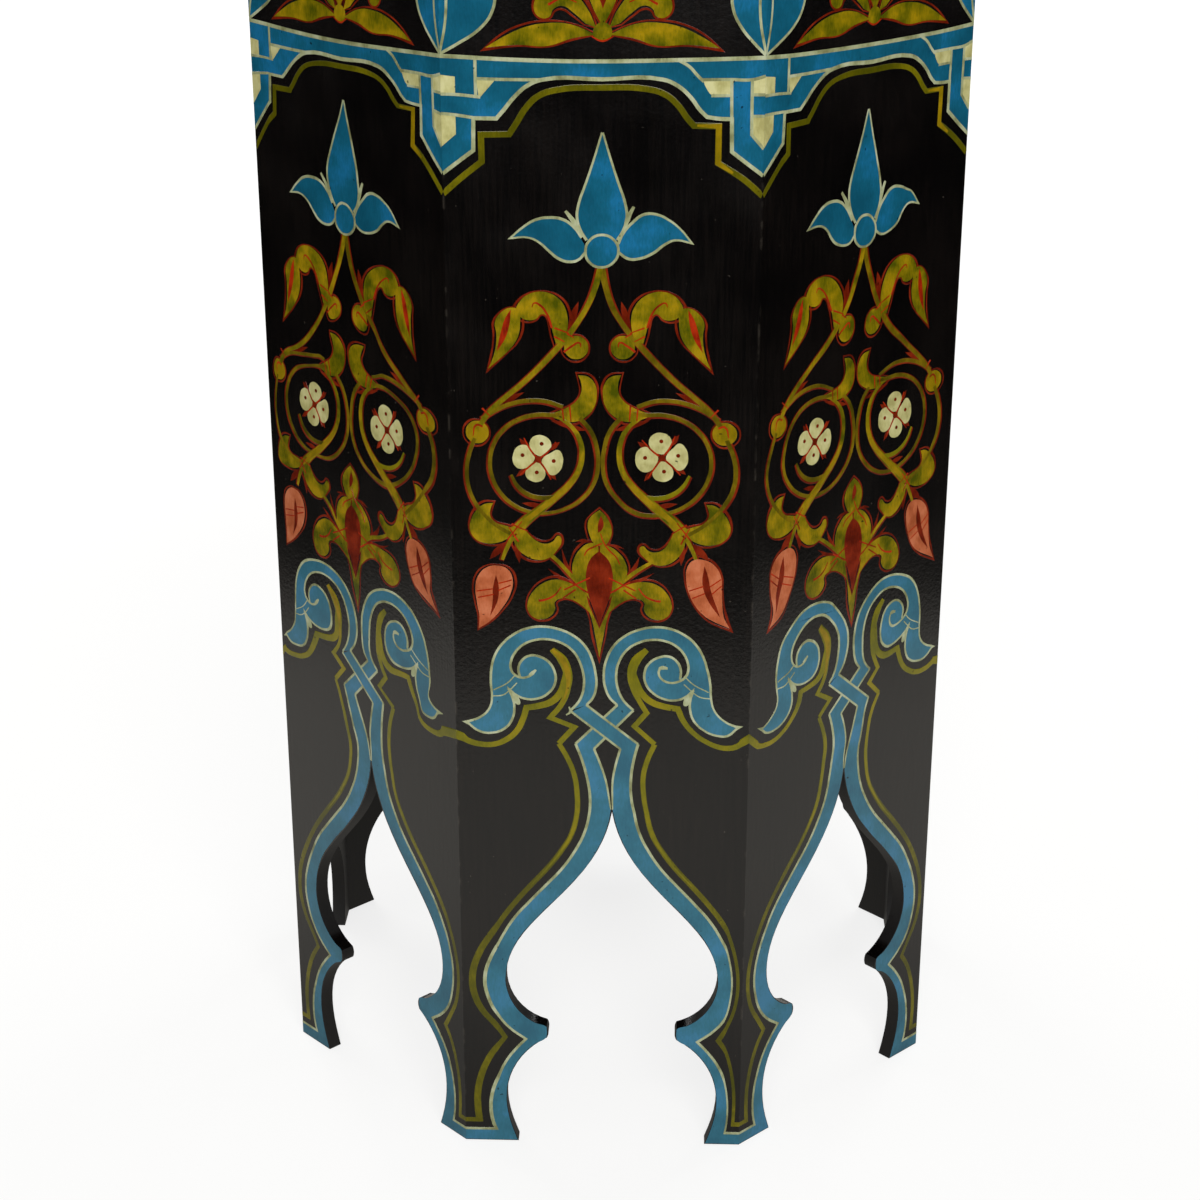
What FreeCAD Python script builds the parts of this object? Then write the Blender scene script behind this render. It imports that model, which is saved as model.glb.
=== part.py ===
import FreeCAD, Part
import math
import os

# An eight-sided side table of painted wood: eight mitred panels with cut-out
# arches that leave eight legs, glued and nailed at the corners, under a top of
# three planks with a moulding round its edge.
# Millimetres, +Z up, origin on the floor under the middle of the table.

# Side panels
side_count = 8
panel_width = 150.0          # outer face, corner to corner
panel_height = 684.0
panel_thickness = 8.0

# Cut-out arch. Leg widths run from the panel's corner to the opening, and the
# heights stack up from the floor.
foot_width = 24.0
ankle_width = 18.0
ankle_height = 28.0
nose_reach = 40.0            # blunt cusp that points into the opening
nose_rise = 38.0             # from the ankle to the underside of the cusp
nose_thickness = 7.0
nose_bulge = 1.0
knee_width = 18.5
knee_rise = 30.0             # from the cusp to the widest part of the arch
ogee_rise = 100.0            # from the widest part to the pointed top
ogee_tip_width = 8.0         # half width that the ogee's upper curve aims at
# Where each curve is steered, as lower and upper shares of its own height.
ankle_curve = (0.3, 0.6)
nose_curve = (0.5, 0.84)
knee_curve = (0.1, 0.45)
ogee_curve = (0.37, 0.52)
# Cut by hand, each arch sits a little off its panel's middle, front panel first.
arch_offsets = (5.0, 0.0, -2.0, 1.0, 3.0, 0.0, -1.0, 2.0)

# Glue blocks in the inner corners
block_face = 18.0            # along each panel
block_edge = 6.0             # square to each panel
block_length = 400.0

# Cleats under the top, inside the panels
cleat_depth = 18.0
cleat_height = 24.0

# Top
plank_count = 3
plank_thickness = 16.0
batten_width = 30.0
batten_thickness = 15.0
batten_spacing = 90.0        # between the battens' middles
batten_clearance = 1.0       # from the batten's end to the cleats

# Moulding round the top
moulding_width = 20.0
moulding_drop = 10.0         # below the planks, over the panels
moulding_round = 6.0
moulding_cove = 10.0

# Finishing nails, sunk below the surface, with the holes filled
nail_diameter = 1.6
nail_head_diameter = 2.4
nail_head_height = 1.2
nail_point = 3.0
nail_sink = 1.0
corner_nail_length = 25.0
corner_nail_rows = 4         # above the arches
cleat_nail_bite = 14.0       # how far each nail reaches into the second piece
top_nail_bite = 18.0
batten_nail_bite = 11.0
moulding_nail_bite = 14.0
nail_row_offset = 12.0       # between the cleat nails and the top nails

# Worked out from the sizes above
half_angle = math.pi / side_count
step_angle = 360.0 / side_count
mitre = math.tan(half_angle)
apothem = panel_width / 2 / mitre
inner_apothem = apothem - panel_thickness
cleat_apothem = inner_apothem - cleat_depth
moulding_apothem = apothem + moulding_width
nose_bottom = ankle_height + nose_rise
nose_top = nose_bottom + nose_thickness
knee_height = nose_top + knee_rise
arch_height = knee_height + ogee_rise
cleat_bottom = panel_height - cleat_height
table_height = panel_height + plank_thickness
plank_width = 2 * apothem / plank_count
cleat_nail_place = inner_apothem * mitre / 2
moulding_nail_place = panel_width / 3
up = FreeCAD.Vector(0, 0, 1)
centre = FreeCAD.Vector(0, 0, 0)


def face_of(edges):
    return Part.Face(Part.Wire(edges))


def polygon_face(points):
    return Part.Face(Part.makePolygon(points + points[:1]))


def line(start, end):
    return Part.LineSegment(start, end).toShape()


def bezier(*poles):
    curve = Part.BezierCurve()
    curve.setPoles(list(poles))
    return curve.toShape()


def turned(shape, step):
    copy = shape.copy()
    copy.rotate(centre, up, step * step_angle)
    return copy


def all_round(*shapes):
    return [turned(shape, step) for step in range(side_count) for shape in shapes]


def mitred_bar(outer, inner, bottom, height):
    # Straight bar in front of the middle, its ends cut on the corner planes.
    plan = [
        FreeCAD.Vector(-outer * mitre, -outer, bottom),
        FreeCAD.Vector(outer * mitre, -outer, bottom),
        FreeCAD.Vector(inner * mitre, -inner, bottom),
        FreeCAD.Vector(-inner * mitre, -inner, bottom),
    ]
    return polygon_face(plan).extrude(up * height)


def octagon_prism(flat, bottom, height):
    radius = flat / math.cos(half_angle)
    plan = []
    for step in range(side_count):
        angle = (2 * step + 1) * half_angle
        plan.append(FreeCAD.Vector(radius * math.cos(angle), radius * math.sin(angle), bottom))
    return polygon_face(plan).extrude(up * height)


def nail(head, direction, length):
    shank = nail_diameter / 2
    profile = [
        FreeCAD.Vector(0, 0, 0),
        FreeCAD.Vector(nail_head_diameter / 2, 0, 0),
        FreeCAD.Vector(shank, 0, nail_head_height),
        FreeCAD.Vector(shank, 0, length - nail_point),
        FreeCAD.Vector(0, 0, length),
    ]
    body = polygon_face(profile).revolve(centre, up, 360)
    body.Placement = FreeCAD.Placement(head, FreeCAD.Rotation(up, direction))
    return body


def drilled(piece, nails):
    near = [one for one in nails if piece.BoundBox.intersect(one.BoundBox)]
    return piece.cut(near) if near else piece


def arch_cutter():
    # Opening of one panel: right-hand outline from the floor to the point,
    # mirrored to the left, and pushed through the board.
    half = panel_width / 2
    depth = -apothem - panel_thickness

    def at(half_width, height):
        return FreeCAD.Vector(half_width, depth, height)

    foot = at(half - foot_width, 0)
    ankle = at(half - ankle_width, ankle_height)
    nose_low = at(half - nose_reach, nose_bottom)
    nose_tip = at(half - nose_reach - nose_bulge, nose_bottom + nose_thickness / 2)
    nose_high = at(half - nose_reach, nose_top)
    knee = at(half - knee_width, knee_height)
    point = at(0, arch_height)
    middle = (nose_low.x + ankle.x) / 2
    right = [
        bezier(foot, at((foot.x + ankle.x) / 2, ankle_height * ankle_curve[0]),
               at(ankle.x, ankle_height * ankle_curve[1]), ankle),
        bezier(ankle, at(ankle.x, ankle_height + nose_rise * nose_curve[0]),
               at(middle, ankle_height + nose_rise * nose_curve[1]), nose_low),
        Part.Arc(nose_low, nose_tip, nose_high).toShape(),
        bezier(nose_high, at((nose_high.x + knee.x) / 2, nose_top + knee_rise * knee_curve[0]),
               at(knee.x, nose_top + knee_rise * knee_curve[1]), knee),
        bezier(knee, at(knee.x, knee_height + ogee_rise * ogee_curve[0]),
               at(ogee_tip_width, knee_height + ogee_rise * ogee_curve[1]), point),
    ]
    left = [edge.mirror(centre, FreeCAD.Vector(1, 0, 0)) for edge in right]
    sill = line(foot, at(-foot.x, 0))
    outline = Part.Wire(Part.__sortEdges__(right + left + [sill]))
    return Part.Face(outline).extrude(FreeCAD.Vector(0, 3 * panel_thickness, 0))


def side_panels(nails):
    board = drilled(mitred_bar(apothem, inner_apothem, 0, panel_height), nails)
    cutter = arch_cutter()
    pieces = []
    for step in range(side_count):
        offset = arch_offsets[step % len(arch_offsets)]
        opening = cutter.translated(FreeCAD.Vector(offset, 0, 0))
        pieces.append(turned(board.cut(opening), step))
    return pieces


def moulding():
    edge = moulding_width
    drop = plank_thickness + moulding_drop

    def at(out, down):
        return FreeCAD.Vector(0, -apothem - out, table_height - down)

    diagonal = math.sqrt(0.5)
    round_middle = at(edge - moulding_round * (1 - diagonal), moulding_round * (1 - diagonal))
    cove_middle = at(edge - moulding_cove * diagonal, drop - moulding_cove * diagonal)
    section = face_of([
        line(at(0, 0), at(edge - moulding_round, 0)),
        Part.Arc(at(edge - moulding_round, 0), round_middle, at(edge, moulding_round)).toShape(),
        line(at(edge, moulding_round), at(edge, drop - moulding_cove)),
        Part.Arc(at(edge, drop - moulding_cove), cove_middle,
                 at(edge - moulding_cove, drop)).toShape(),
        line(at(edge - moulding_cove, drop), at(0, drop)),
        line(at(0, drop), at(0, 0)),
    ])
    reach = moulding_apothem * mitre
    section.translate(FreeCAD.Vector(-reach, 0, 0))
    bar = section.extrude(FreeCAD.Vector(2 * reach, 0, 0))
    wedge = mitred_bar(moulding_apothem, apothem, table_height - drop, drop)
    return bar.common(wedge)


def corner_block():
    # Five-sided strip in the corner to the right of the front panel.
    corner = FreeCAD.Vector(inner_apothem * mitre, -inner_apothem, cleat_bottom - block_length)
    front = [
        corner + FreeCAD.Vector(-block_face, 0, 0),
        corner + FreeCAD.Vector(-block_face, block_edge, 0),
    ]
    corner_plane = FreeCAD.Vector(math.cos(half_angle), math.sin(half_angle), 0)
    side = [point.sub(corner_plane * (2 * point.dot(corner_plane))) for point in front]
    plan = [corner, front[0], front[1], side[1], side[0]]
    return polygon_face(plan).extrude(up * block_length)


def front_corner_nails():
    # Through the front panel's face, along the middle of the next board.
    offset = panel_thickness / 2 / math.sin(2 * half_angle)
    along = FreeCAD.Vector(math.cos(2 * half_angle), math.sin(2 * half_angle), 0)
    rows = [nose_bottom + nose_thickness / 2]
    pitch = (cleat_bottom - arch_height) / corner_nail_rows
    rows += [arch_height + (row + 0.5) * pitch for row in range(corner_nail_rows)]
    nails = []
    for height in rows:
        face_point = FreeCAD.Vector(panel_width / 2 - offset, -apothem, height)
        sunk = nail_sink / math.sin(2 * half_angle)
        nails.append(nail(face_point + along * sunk, along, corner_nail_length))
    return nails


def front_cleat_nails():
    length = panel_thickness - nail_sink + cleat_nail_bite
    inwards = FreeCAD.Vector(0, 1, 0)
    height = cleat_bottom + cleat_height / 2
    return [
        nail(FreeCAD.Vector(side * cleat_nail_place, -apothem + nail_sink, height), inwards, length)
        for side in (-1, 1)
    ]


def front_top_nails():
    length = plank_thickness - nail_sink + top_nail_bite
    place = cleat_nail_place - nail_row_offset
    depth = -inner_apothem + cleat_depth / 2
    return [
        nail(FreeCAD.Vector(side * place, depth, table_height - nail_sink), -up, length)
        for side in (-1, 1)
    ]


def front_moulding_nails():
    length = moulding_width - nail_sink + moulding_nail_bite
    inwards = FreeCAD.Vector(0, 1, 0)
    height = panel_height + plank_thickness / 2
    return [
        nail(FreeCAD.Vector(side * moulding_nail_place, -moulding_apothem + nail_sink, height),
             inwards, length)
        for side in (-1, 1)
    ]


def battens():
    # Square-ended strips across the planks, as long as the cleats leave room for.
    half_width = batten_width / 2
    reach_to_corner = cleat_apothem / math.cos(2 * half_angle) - batten_spacing / 2 - half_width
    half_length = min(cleat_apothem, reach_to_corner) - batten_clearance
    pieces = []
    nails = []
    nail_length = plank_thickness - nail_sink + batten_nail_bite
    outer_nail = (plank_width / 2 + half_length) / 2
    for side in (-1, 1):
        middle = side * batten_spacing / 2
        start = FreeCAD.Vector(-half_length, middle - half_width, panel_height - batten_thickness)
        pieces.append(Part.makeBox(2 * half_length, batten_width, batten_thickness, start))
        for across in (-outer_nail, 0, outer_nail):
            head = FreeCAD.Vector(across, middle, table_height - nail_sink)
            nails.append(nail(head, -up, nail_length))
    return pieces, nails


def planks():
    # Boards along Y, cut together to the octagon.
    top = octagon_prism(apothem, panel_height, plank_thickness)
    pieces = []
    for number in range(plank_count):
        start = FreeCAD.Vector(-apothem + number * plank_width, -apothem, panel_height)
        board = Part.makeBox(plank_width, 2 * apothem, plank_thickness, start)
        pieces.append(board.common(top))
    return pieces


def save(name, solids):
    shape = solids[0] if len(solids) == 1 else Part.makeCompound(solids)
    shape.exportStep("parts/" + name + ".step")


def save_each(name, pieces):
    for number, piece in enumerate(pieces, start=1):
        save(name + "_" + str(number), [piece])


corner_nails = all_round(*front_corner_nails())
cleat_nails = all_round(*front_cleat_nails())
top_nails = all_round(*front_top_nails())
moulding_nails = all_round(*front_moulding_nails())
top_battens, batten_nails = battens()

cleat = mitred_bar(inner_apothem, cleat_apothem, cleat_bottom, cleat_height)
cleat = drilled(cleat, cleat_nails + top_nails)
edge_moulding = drilled(moulding(), moulding_nails)

os.makedirs("parts", exist_ok=True)
save_each("side_panel", side_panels(corner_nails + cleat_nails))
save_each("corner_block", all_round(corner_block()))
save_each("top_cleat", all_round(cleat))
save_each("top_plank", [drilled(one, top_nails + moulding_nails + batten_nails) for one in planks()])
save_each("top_batten", [drilled(one, batten_nails) for one in top_battens])
save_each("edge_moulding", all_round(edge_moulding))
save("corner_nails", corner_nails)
save("cleat_nails", cleat_nails)
save("top_nails", top_nails)
save("batten_nails", batten_nails)
save("moulding_nails", moulding_nails)
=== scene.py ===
import itertools
import math
import bpy
import numpy as np
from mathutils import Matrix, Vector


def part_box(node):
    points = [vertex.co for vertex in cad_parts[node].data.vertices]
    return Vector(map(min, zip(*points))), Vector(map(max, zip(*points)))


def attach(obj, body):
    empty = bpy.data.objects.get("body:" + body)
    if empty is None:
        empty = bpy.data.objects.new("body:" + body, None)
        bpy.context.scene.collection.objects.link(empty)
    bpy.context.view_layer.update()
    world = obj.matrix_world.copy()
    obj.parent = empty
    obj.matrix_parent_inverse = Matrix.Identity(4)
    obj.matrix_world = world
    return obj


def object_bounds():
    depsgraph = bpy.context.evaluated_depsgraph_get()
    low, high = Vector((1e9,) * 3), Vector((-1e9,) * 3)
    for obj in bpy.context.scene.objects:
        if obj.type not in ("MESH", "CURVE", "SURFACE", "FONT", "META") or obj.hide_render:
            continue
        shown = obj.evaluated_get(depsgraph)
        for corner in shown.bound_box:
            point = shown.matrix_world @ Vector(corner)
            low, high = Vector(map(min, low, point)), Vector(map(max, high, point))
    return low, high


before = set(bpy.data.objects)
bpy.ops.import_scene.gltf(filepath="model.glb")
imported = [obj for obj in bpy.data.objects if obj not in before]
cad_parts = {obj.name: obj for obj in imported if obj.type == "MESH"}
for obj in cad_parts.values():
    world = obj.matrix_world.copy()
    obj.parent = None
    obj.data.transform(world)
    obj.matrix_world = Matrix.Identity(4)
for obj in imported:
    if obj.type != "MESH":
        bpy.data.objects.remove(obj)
cadLow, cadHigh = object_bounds()
print("frame loaded:", len(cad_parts), "pieces of joinery")

mm = 0.001
sides = 8
sharp = True  # third value of a point where the brush turned a corner
panelLow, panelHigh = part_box("side_panel_1")
faceDistance = -panelLow.y  # from the middle of the table to a panel's face
corner = panelHigh.x / mm  # half a panel's width
tableTop = cadHigh.z


def linear(hexColour):
    channels = [int(hexColour[i:i + 2], 16) / 255 for i in (1, 3, 5)]
    return tuple(c / 12.92 if c <= 0.04045 else ((c + 0.055) / 1.055) ** 2.4 for c in channels) + (1,)


def grey(level):
    return (level, level, level, 1)


def addNode(tree, kind, inputs=None, stops=(), **settings):
    made = tree.nodes.new(kind)
    for name, value in settings.items():
        setattr(made, name, value)
    for number, (place, colour) in enumerate(stops):
        steps = made.color_ramp.elements
        step = steps[number] if number < 2 else steps.new(place)
        step.position = place
        step.color = colour
    for name, value in (inputs or {}).items():
        if isinstance(value, bpy.types.NodeSocket):
            tree.links.new(value, made.inputs[name])
        else:
            made.inputs[name].default_value = value
    return made


def newMaterial(name):
    material = bpy.data.materials.new(name)
    material.use_nodes = True
    material.node_tree.nodes.clear()
    return material, material.node_tree


def objectPlace(tree):
    return addNode(tree, "ShaderNodeTexCoord").outputs["Object"]


def drawnOut(tree, place, share):
    return addNode(tree, "ShaderNodeMapping", {"Vector": place, "Scale": (1, 1, share)}).outputs["Vector"]


def noise(tree, place, size, detail):
    return addNode(tree, "ShaderNodeTexNoise", {
        "Vector": place, "Scale": 1 / (size * mm), "Detail": detail}).outputs["Fac"]


def ramp(tree, value, *stops):
    return addNode(tree, "ShaderNodeValToRGB", {"Fac": value}, stops).outputs["Color"]


def mixed(tree, share, under, over):
    return addNode(tree, "ShaderNodeMixRGB", {
        "Fac": share, "Color1": under, "Color2": over}).outputs["Color"]


def reckoned(tree, operation, *values):
    return addNode(tree, "ShaderNodeMath", dict(enumerate(values)), operation=operation).outputs[0]


def vectors(tree, operation, result, *values):
    made = addNode(tree, "ShaderNodeVectorMath", dict(enumerate(values)), operation=operation)
    return made.outputs[result]


def mapped(tree, value, reach, result=(0, 1)):
    return addNode(tree, "ShaderNodeMapRange", {
        "Value": value, "From Min": reach[0], "From Max": reach[1],
        "To Min": result[0], "To Max": result[1]}).outputs["Result"]


def bump(tree, height, strength, depth):
    return addNode(tree, "ShaderNodeBump", {
        "Height": height, "Strength": strength, "Distance": depth * mm}).outputs["Normal"]


def coat(tree, inputs):
    shader = addNode(tree, "ShaderNodeBsdfPrincipled", inputs)
    addNode(tree, "ShaderNodeOutputMaterial", {"Surface": shader.outputs["BSDF"]})


noiseReach = (0.3, 0.7)  # nearly all of a noise lies between these

# Brushed black lacquer on thin boards: deep black with upright brush lines, a soft gloss that mirrors
# the floor, faint brown where it is thin, a few pale specks of dust, and grey rubbed patches on the
# corners. The sawn edges of the arches are dull. Sizes in finishes and paint are in millimetres.
lacquer = {
    "deep": "#050404", "thin": "#100c0a", "depths": (0.16, 0.42),
    "brushLine": 1.1, "drawnOut": 0.05, "patch": 45, "mottle": 1.7,
    "speck": "#4f4941", "speckSize": 2.6, "speckFrom": (0.765, 0.79), "speckStrength": 0.6,
    "worn": "#2b2722", "wornReach": 0.4, "wornPatch": 7, "wornFrom": (0.52, 0.66),
    "roughness": (0.13, 0.22), "sawnRoughness": 0.55, "sawnTurn": (0.75, 0.85),
    "relief": 0.55, "reliefDepth": 0.12, "refraction": 1.5,
}


def blackLacquer():
    material, tree = newMaterial("brushedBlackLacquer")
    place = objectPlace(tree)
    brushLines = noise(tree, drawnOut(tree, place, lacquer["drawnOut"]), lacquer["brushLine"], 3)
    patches = noise(tree, place, lacquer["patch"], 5)
    thick, thin = lacquer["depths"]
    brushed = ramp(tree, reckoned(tree, "MULTIPLY", brushLines, patches),
                   (thick, linear(lacquer["deep"])), (thin, linear(lacquer["thin"])))
    clear, speck = lacquer["speckFrom"]
    specks = ramp(tree, noise(tree, place, lacquer["speckSize"], 2),
                  (clear, grey(0)), (speck, grey(lacquer["speckStrength"])))
    specked = mixed(tree, specks, brushed, linear(lacquer["speck"]))
    level = vectors(tree, "MULTIPLY", "Vector", place, (1, 1, 0))
    reach = vectors(tree, "LENGTH", "Value", level)
    cornerReach = math.hypot(faceDistance, corner * mm)
    fromCorner = reckoned(tree, "ABSOLUTE", reckoned(tree, "SUBTRACT", reach, cornerReach))
    onCorner = mapped(tree, fromCorner, (0, lacquer["wornReach"] * mm), (1, 0))
    rubbed = mapped(tree, noise(tree, place, lacquer["wornPatch"], 4), lacquer["wornFrom"])
    worn = reckoned(tree, "MULTIPLY", onCorner, rubbed)
    colour = mixed(tree, worn, specked, linear(lacquer["worn"]))
    # faces look away from the table's middle or straight up, sawn edges of the arches look sideways
    facing = addNode(tree, "ShaderNodeNewGeometry").outputs["Normal"]
    outward = vectors(tree, "NORMALIZE", "Vector", level)
    sideways = vectors(tree, "DOT_PRODUCT", "Value", facing, outward)
    upwards = vectors(tree, "DOT_PRODUCT", "Value", facing, (0, 0, 1))
    sawn = mapped(tree, reckoned(tree, "MAXIMUM", sideways, upwards), lacquer["sawnTurn"], (1, 0))
    flatRoughness = mapped(tree, patches, noiseReach, lacquer["roughness"])
    roughness = mapped(tree, sawn, (0, 1), (flatRoughness, lacquer["sawnRoughness"]))
    surface = reckoned(tree, "ADD", brushLines, noise(tree, place, lacquer["mottle"], 2))
    relief = bump(tree, surface, lacquer["relief"], lacquer["reliefDepth"])
    coat(tree, {
        "Base Color": colour, "Roughness": roughness, "Normal": relief, "IOR": lacquer["refraction"]})
    return material


# Hand-brushed oil colours under the same varnish: uneven in depth over a few centimetres, with hair
# lines of the brush about a millimetre apart, so a filled leaf goes from thin and dark to full and light.
# A few chips show the lacquer.
oil = {
    "hairLine": 0.9, "drawnOut": 0.3, "hairShare": 0.2, "depths": (0.36, 0.5, 0.64),
    "chip": 2.4, "chipFrom": (0.77, 0.8), "chipStrength": 0.8,
    "roughness": (0.1, 0.18), "relief": 0.2, "reliefDepth": 0.1, "gloss": 0.3,
}
paints = {  # finish, its deep, main and light colour, and the size of its patches
    "blue": ("brushedBlueOilPaint", "#0d4a60", "#105770", "#166792", 26),
    # paler, greyer blue for the straps and border low on the panels: the blue with a painted sheen of the
    # floor's reflection
    "paleBlue": ("brushedPaleBlueOilPaintWithPaintedSheen", "#2a5b6e", "#30687b", "#387392", 26),
    "cream": ("brushedCreamOilPaint", "#777953", "#999e76", "#b0b595", 9),
    "olive": ("brushedOliveOilPaint", "#454903", "#726603", "#9a7e05", 12),
    "moss": ("brushedMossOilPaint", "#424203", "#545003", "#6f6804", 30),
    "sap": ("brushedSapGreenOilPaint", "#5c5a03", "#706a03", "#837604", 20),
    "bronze": ("brushedBronzeGreenOilPaint", "#403a03", "#5e5003", "#7d6604", 14),
    "ochre": ("brushedOchreOilPaint", "#706004", "#876f04", "#977a06", 8),
    "red": ("thinRedOilPaint", "#6c1605", "#962305", "#aa2c07", 7),
    "darkRed": ("thinDarkRedOilPaint", "#501103", "#691a05", "#802408", 10),
    "salmon": ("brushedSalmonOilPaint", "#984c2b", "#b05e3a", "#c0704c", 10),
    "white": ("brushedWhiteOilPaint", "#a09a62", "#b7b279", "#c6c28e", 8),
}


def oilPaint(finish, deep, main, light, patch):
    material, tree = newMaterial(finish)
    place = objectPlace(tree)
    hairLines = noise(tree, drawnOut(tree, place, oil["drawnOut"]), oil["hairLine"], 2)
    depth = mixed(tree, oil["hairShare"], noise(tree, place, patch, 4), hairLines)
    thin, usual, thick = oil["depths"]
    full = ramp(tree, depth, (thin, linear(deep)), (thick, linear(light)), (usual, linear(main)))
    whole, chipped = oil["chipFrom"]
    chips = ramp(tree, noise(tree, place, oil["chip"], 1),
                 (whole, grey(0)), (chipped, grey(oil["chipStrength"])))
    colour = mixed(tree, chips, full, linear(lacquer["deep"]))
    roughness = mapped(tree, depth, noiseReach, oil["roughness"])
    relief = bump(tree, hairLines, oil["relief"], oil["reliefDepth"])
    coat(tree, {
        "Base Color": colour, "Roughness": roughness, "Normal": relief, "Specular IOR Level": oil["gloss"]})
    return material


# Dark-stained softwood of the hidden framing: dull brown with a straight grain of about two millimetres.
framing = {
    "dark": "#1c110a", "light": "#3a2414", "grain": 2.2, "drawnOut": 0.08,
    "roughness": 0.62, "relief": 0.3, "reliefDepth": 0.3, "refraction": 1.5,
}


def stainedSoftwood():
    material, tree = newMaterial("stainedSoftwood")
    grain = noise(tree, drawnOut(tree, objectPlace(tree), framing["drawnOut"]), framing["grain"], 5)
    early, late = noiseReach
    colour = ramp(tree, grain, (early, linear(framing["dark"])), (late, linear(framing["light"])))
    relief = bump(tree, grain, framing["relief"], framing["reliefDepth"])
    coat(tree, {
        "Base Color": colour, "Roughness": framing["roughness"], "Normal": relief,
        "IOR": framing["refraction"]})
    return material


# Plain drawn steel of the nails, dulled by age to a brown grey.
nails = {"steel": "#77716a", "dull": "#4b443d", "depths": (0.35, 0.65), "patch": 1.5, "roughness": 0.45}


def dullSteel():
    material, tree = newMaterial("dullDrawnSteel")
    dull, bright = nails["depths"]
    colour = ramp(tree, noise(tree, objectPlace(tree), nails["patch"], 3),
                  (dull, linear(nails["dull"])), (bright, linear(nails["steel"])))
    coat(tree, {"Base Color": colour, "Metallic": 1, "Roughness": nails["roughness"]})
    return material


finishes = {"black_lacquer": blackLacquer(), "stained_wood": stainedSoftwood(), "nail_steel": dullSteel()}
paintMaterials = {colour: oilPaint(*paint) for colour, paint in paints.items()}
for name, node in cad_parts.items():
    if name.endswith("nails"):
        finish = finishes["nail_steel"]
    elif name.startswith(("side_panel", "top_plank", "edge_moulding")):
        finish = finishes["black_lacquer"]
    else:
        finish = finishes["stained_wood"]
    node.data.materials.clear()
    node.data.materials.append(finish)
print("finishes given to the joinery")

# Paint is laid in coats; the heights are millimetres above the wood, and every shape is sunk a little
# into it. A stroke is a hair higher than the one before it, so that no two lie in one plane.
brush = {
    "steps": 5, "blank": 0.1, "sunk": 0.02, "hair": 0.0005, "hairs": 59, "touch": 1e-6, "weld": 0.001,
    "under": 0.01, "body": 0.04, "mark": 0.07, "strap": 0.10, "strapMark": 0.13,
    "section": ((-1, 0), (-0.8, 1), (0.8, 1), (1, 0)),
    "redGap": 0.9, "looseness": 0.6, "lilt": 0.9, "redWidths": (0.8, 1.4, 0.7, 1.5, 0.9, 1.2, 0.7),
    "shadow": (0.5, -0.4), "shadowSpread": 0.9,
}
stencil = {}
strokeNumbers = itertools.count(1)

# A flat brush leaves a ridge with soft shoulders: its section is one millimetre to each side.
bpy.ops.object.select_all(action="DESELECT")
bpy.ops.curve.primitive_nurbs_path_add()
brushTip = bpy.context.object
brushTip.name = "brushTip"
brushTip.data.splines.clear()
tipLine = brushTip.data.splines.new("POLY")
tipLine.points.add(len(brush["section"]) - 1)
for point, (across, up) in zip(tipLine.points, brush["section"]):
    point.co = (across * mm, up * mm, 0, 1)
tipLine.use_cyclic_u = True
brushTip.data.dimensions = "2D"
brushTip.data.fill_mode = "NONE"


def readPoints(shape):
    flat = np.empty(len(shape.data.vertices) * 3)
    shape.data.vertices.foreach_get("co", flat)
    return flat.reshape(-1, 3)


def writePoints(shape, points):
    shape.data.vertices.foreach_set("co", points.ravel())
    shape.data.update()


def drawCurve(points, closed):
    bpy.ops.object.select_all(action="DESELECT")
    bpy.ops.curve.primitive_bezier_curve_add()
    curve = bpy.context.object
    line = curve.data.splines[0]
    line.bezier_points.add(len(points) - 2)
    for knot, point in zip(line.bezier_points, points):
        knot.co = (point[0] * mm, point[1] * mm, 0)
        knot.handle_left_type = knot.handle_right_type = "VECTOR" if len(point) > 2 else "AUTO"
    line.use_cyclic_u = closed
    curve.data.dimensions = "2D"
    curve.data.resolution_u = brush["steps"]
    return curve


def keepPaint(shape, colour, level):
    bpy.ops.object.convert(target="MESH")
    points = readPoints(shape)
    top = brush[level] + brush["hair"] * (next(strokeNumbers) % brush["hairs"])
    points[:, 2] = np.where(points[:, 2] > brush["touch"] * mm, top, -brush["sunk"]) * mm
    writePoints(shape, points)
    stencil.setdefault(colour, []).append(shape)


def paintArea(colour, level, points):
    shape = drawCurve(points, True)
    shape.data.fill_mode = "BOTH"
    shape.data.extrude = brush["blank"] * mm
    keepPaint(shape, colour, level)


def paintLine(colour, level, points, widths, closed=False):
    shape = drawCurve(points, closed)
    widths = np.atleast_1d(widths)
    spread = np.interp(np.linspace(0, 1, len(points)), np.linspace(0, 1, len(widths)), widths)
    for knot, width in zip(shape.data.splines[0].bezier_points, spread):
        knot.radius = width / 2
    shape.data.bevel_mode = "OBJECT"
    shape.data.bevel_object = brushTip
    shape.data.use_fill_caps = True
    keepPaint(shape, colour, level)


def otherHand(points):
    return [(-u, *rest) for u, *rest in points]


def bothHands(paint, colour, level, points, *rest):
    paint(colour, level, points, *rest)
    paint(colour, level, otherHand(points), *rest)


def ring(u, z, radius, count=8):
    turns = [2 * math.pi * i / count for i in range(count)]
    return [(u + radius * math.cos(t), z + radius * math.sin(t)) for t in turns]


def turned(points, middle, angle, size=1):
    c, s = size * math.cos(math.radians(angle)), size * math.sin(math.radians(angle))
    return [(middle[0] + c * u - s * z, middle[1] + s * u + c * z, *rest) for u, z, *rest in points]


def outside(points, gap):
    flat = np.array([point[:2] for point in points], float)
    way = np.roll(flat, -1, 0) - np.roll(flat, 1, 0)
    way /= np.linalg.norm(way, axis=1)[:, None]
    area = np.sum(flat[:, 0] * np.roll(flat[:, 1], -1) - flat[:, 1] * np.roll(flat[:, 0], -1))
    moved = flat + gap[:, None] * np.sign(area) * np.column_stack((way[:, 1], -way[:, 0]))
    return [tuple(new) + tuple(old[2:]) for new, old in zip(moved, points)]


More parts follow.
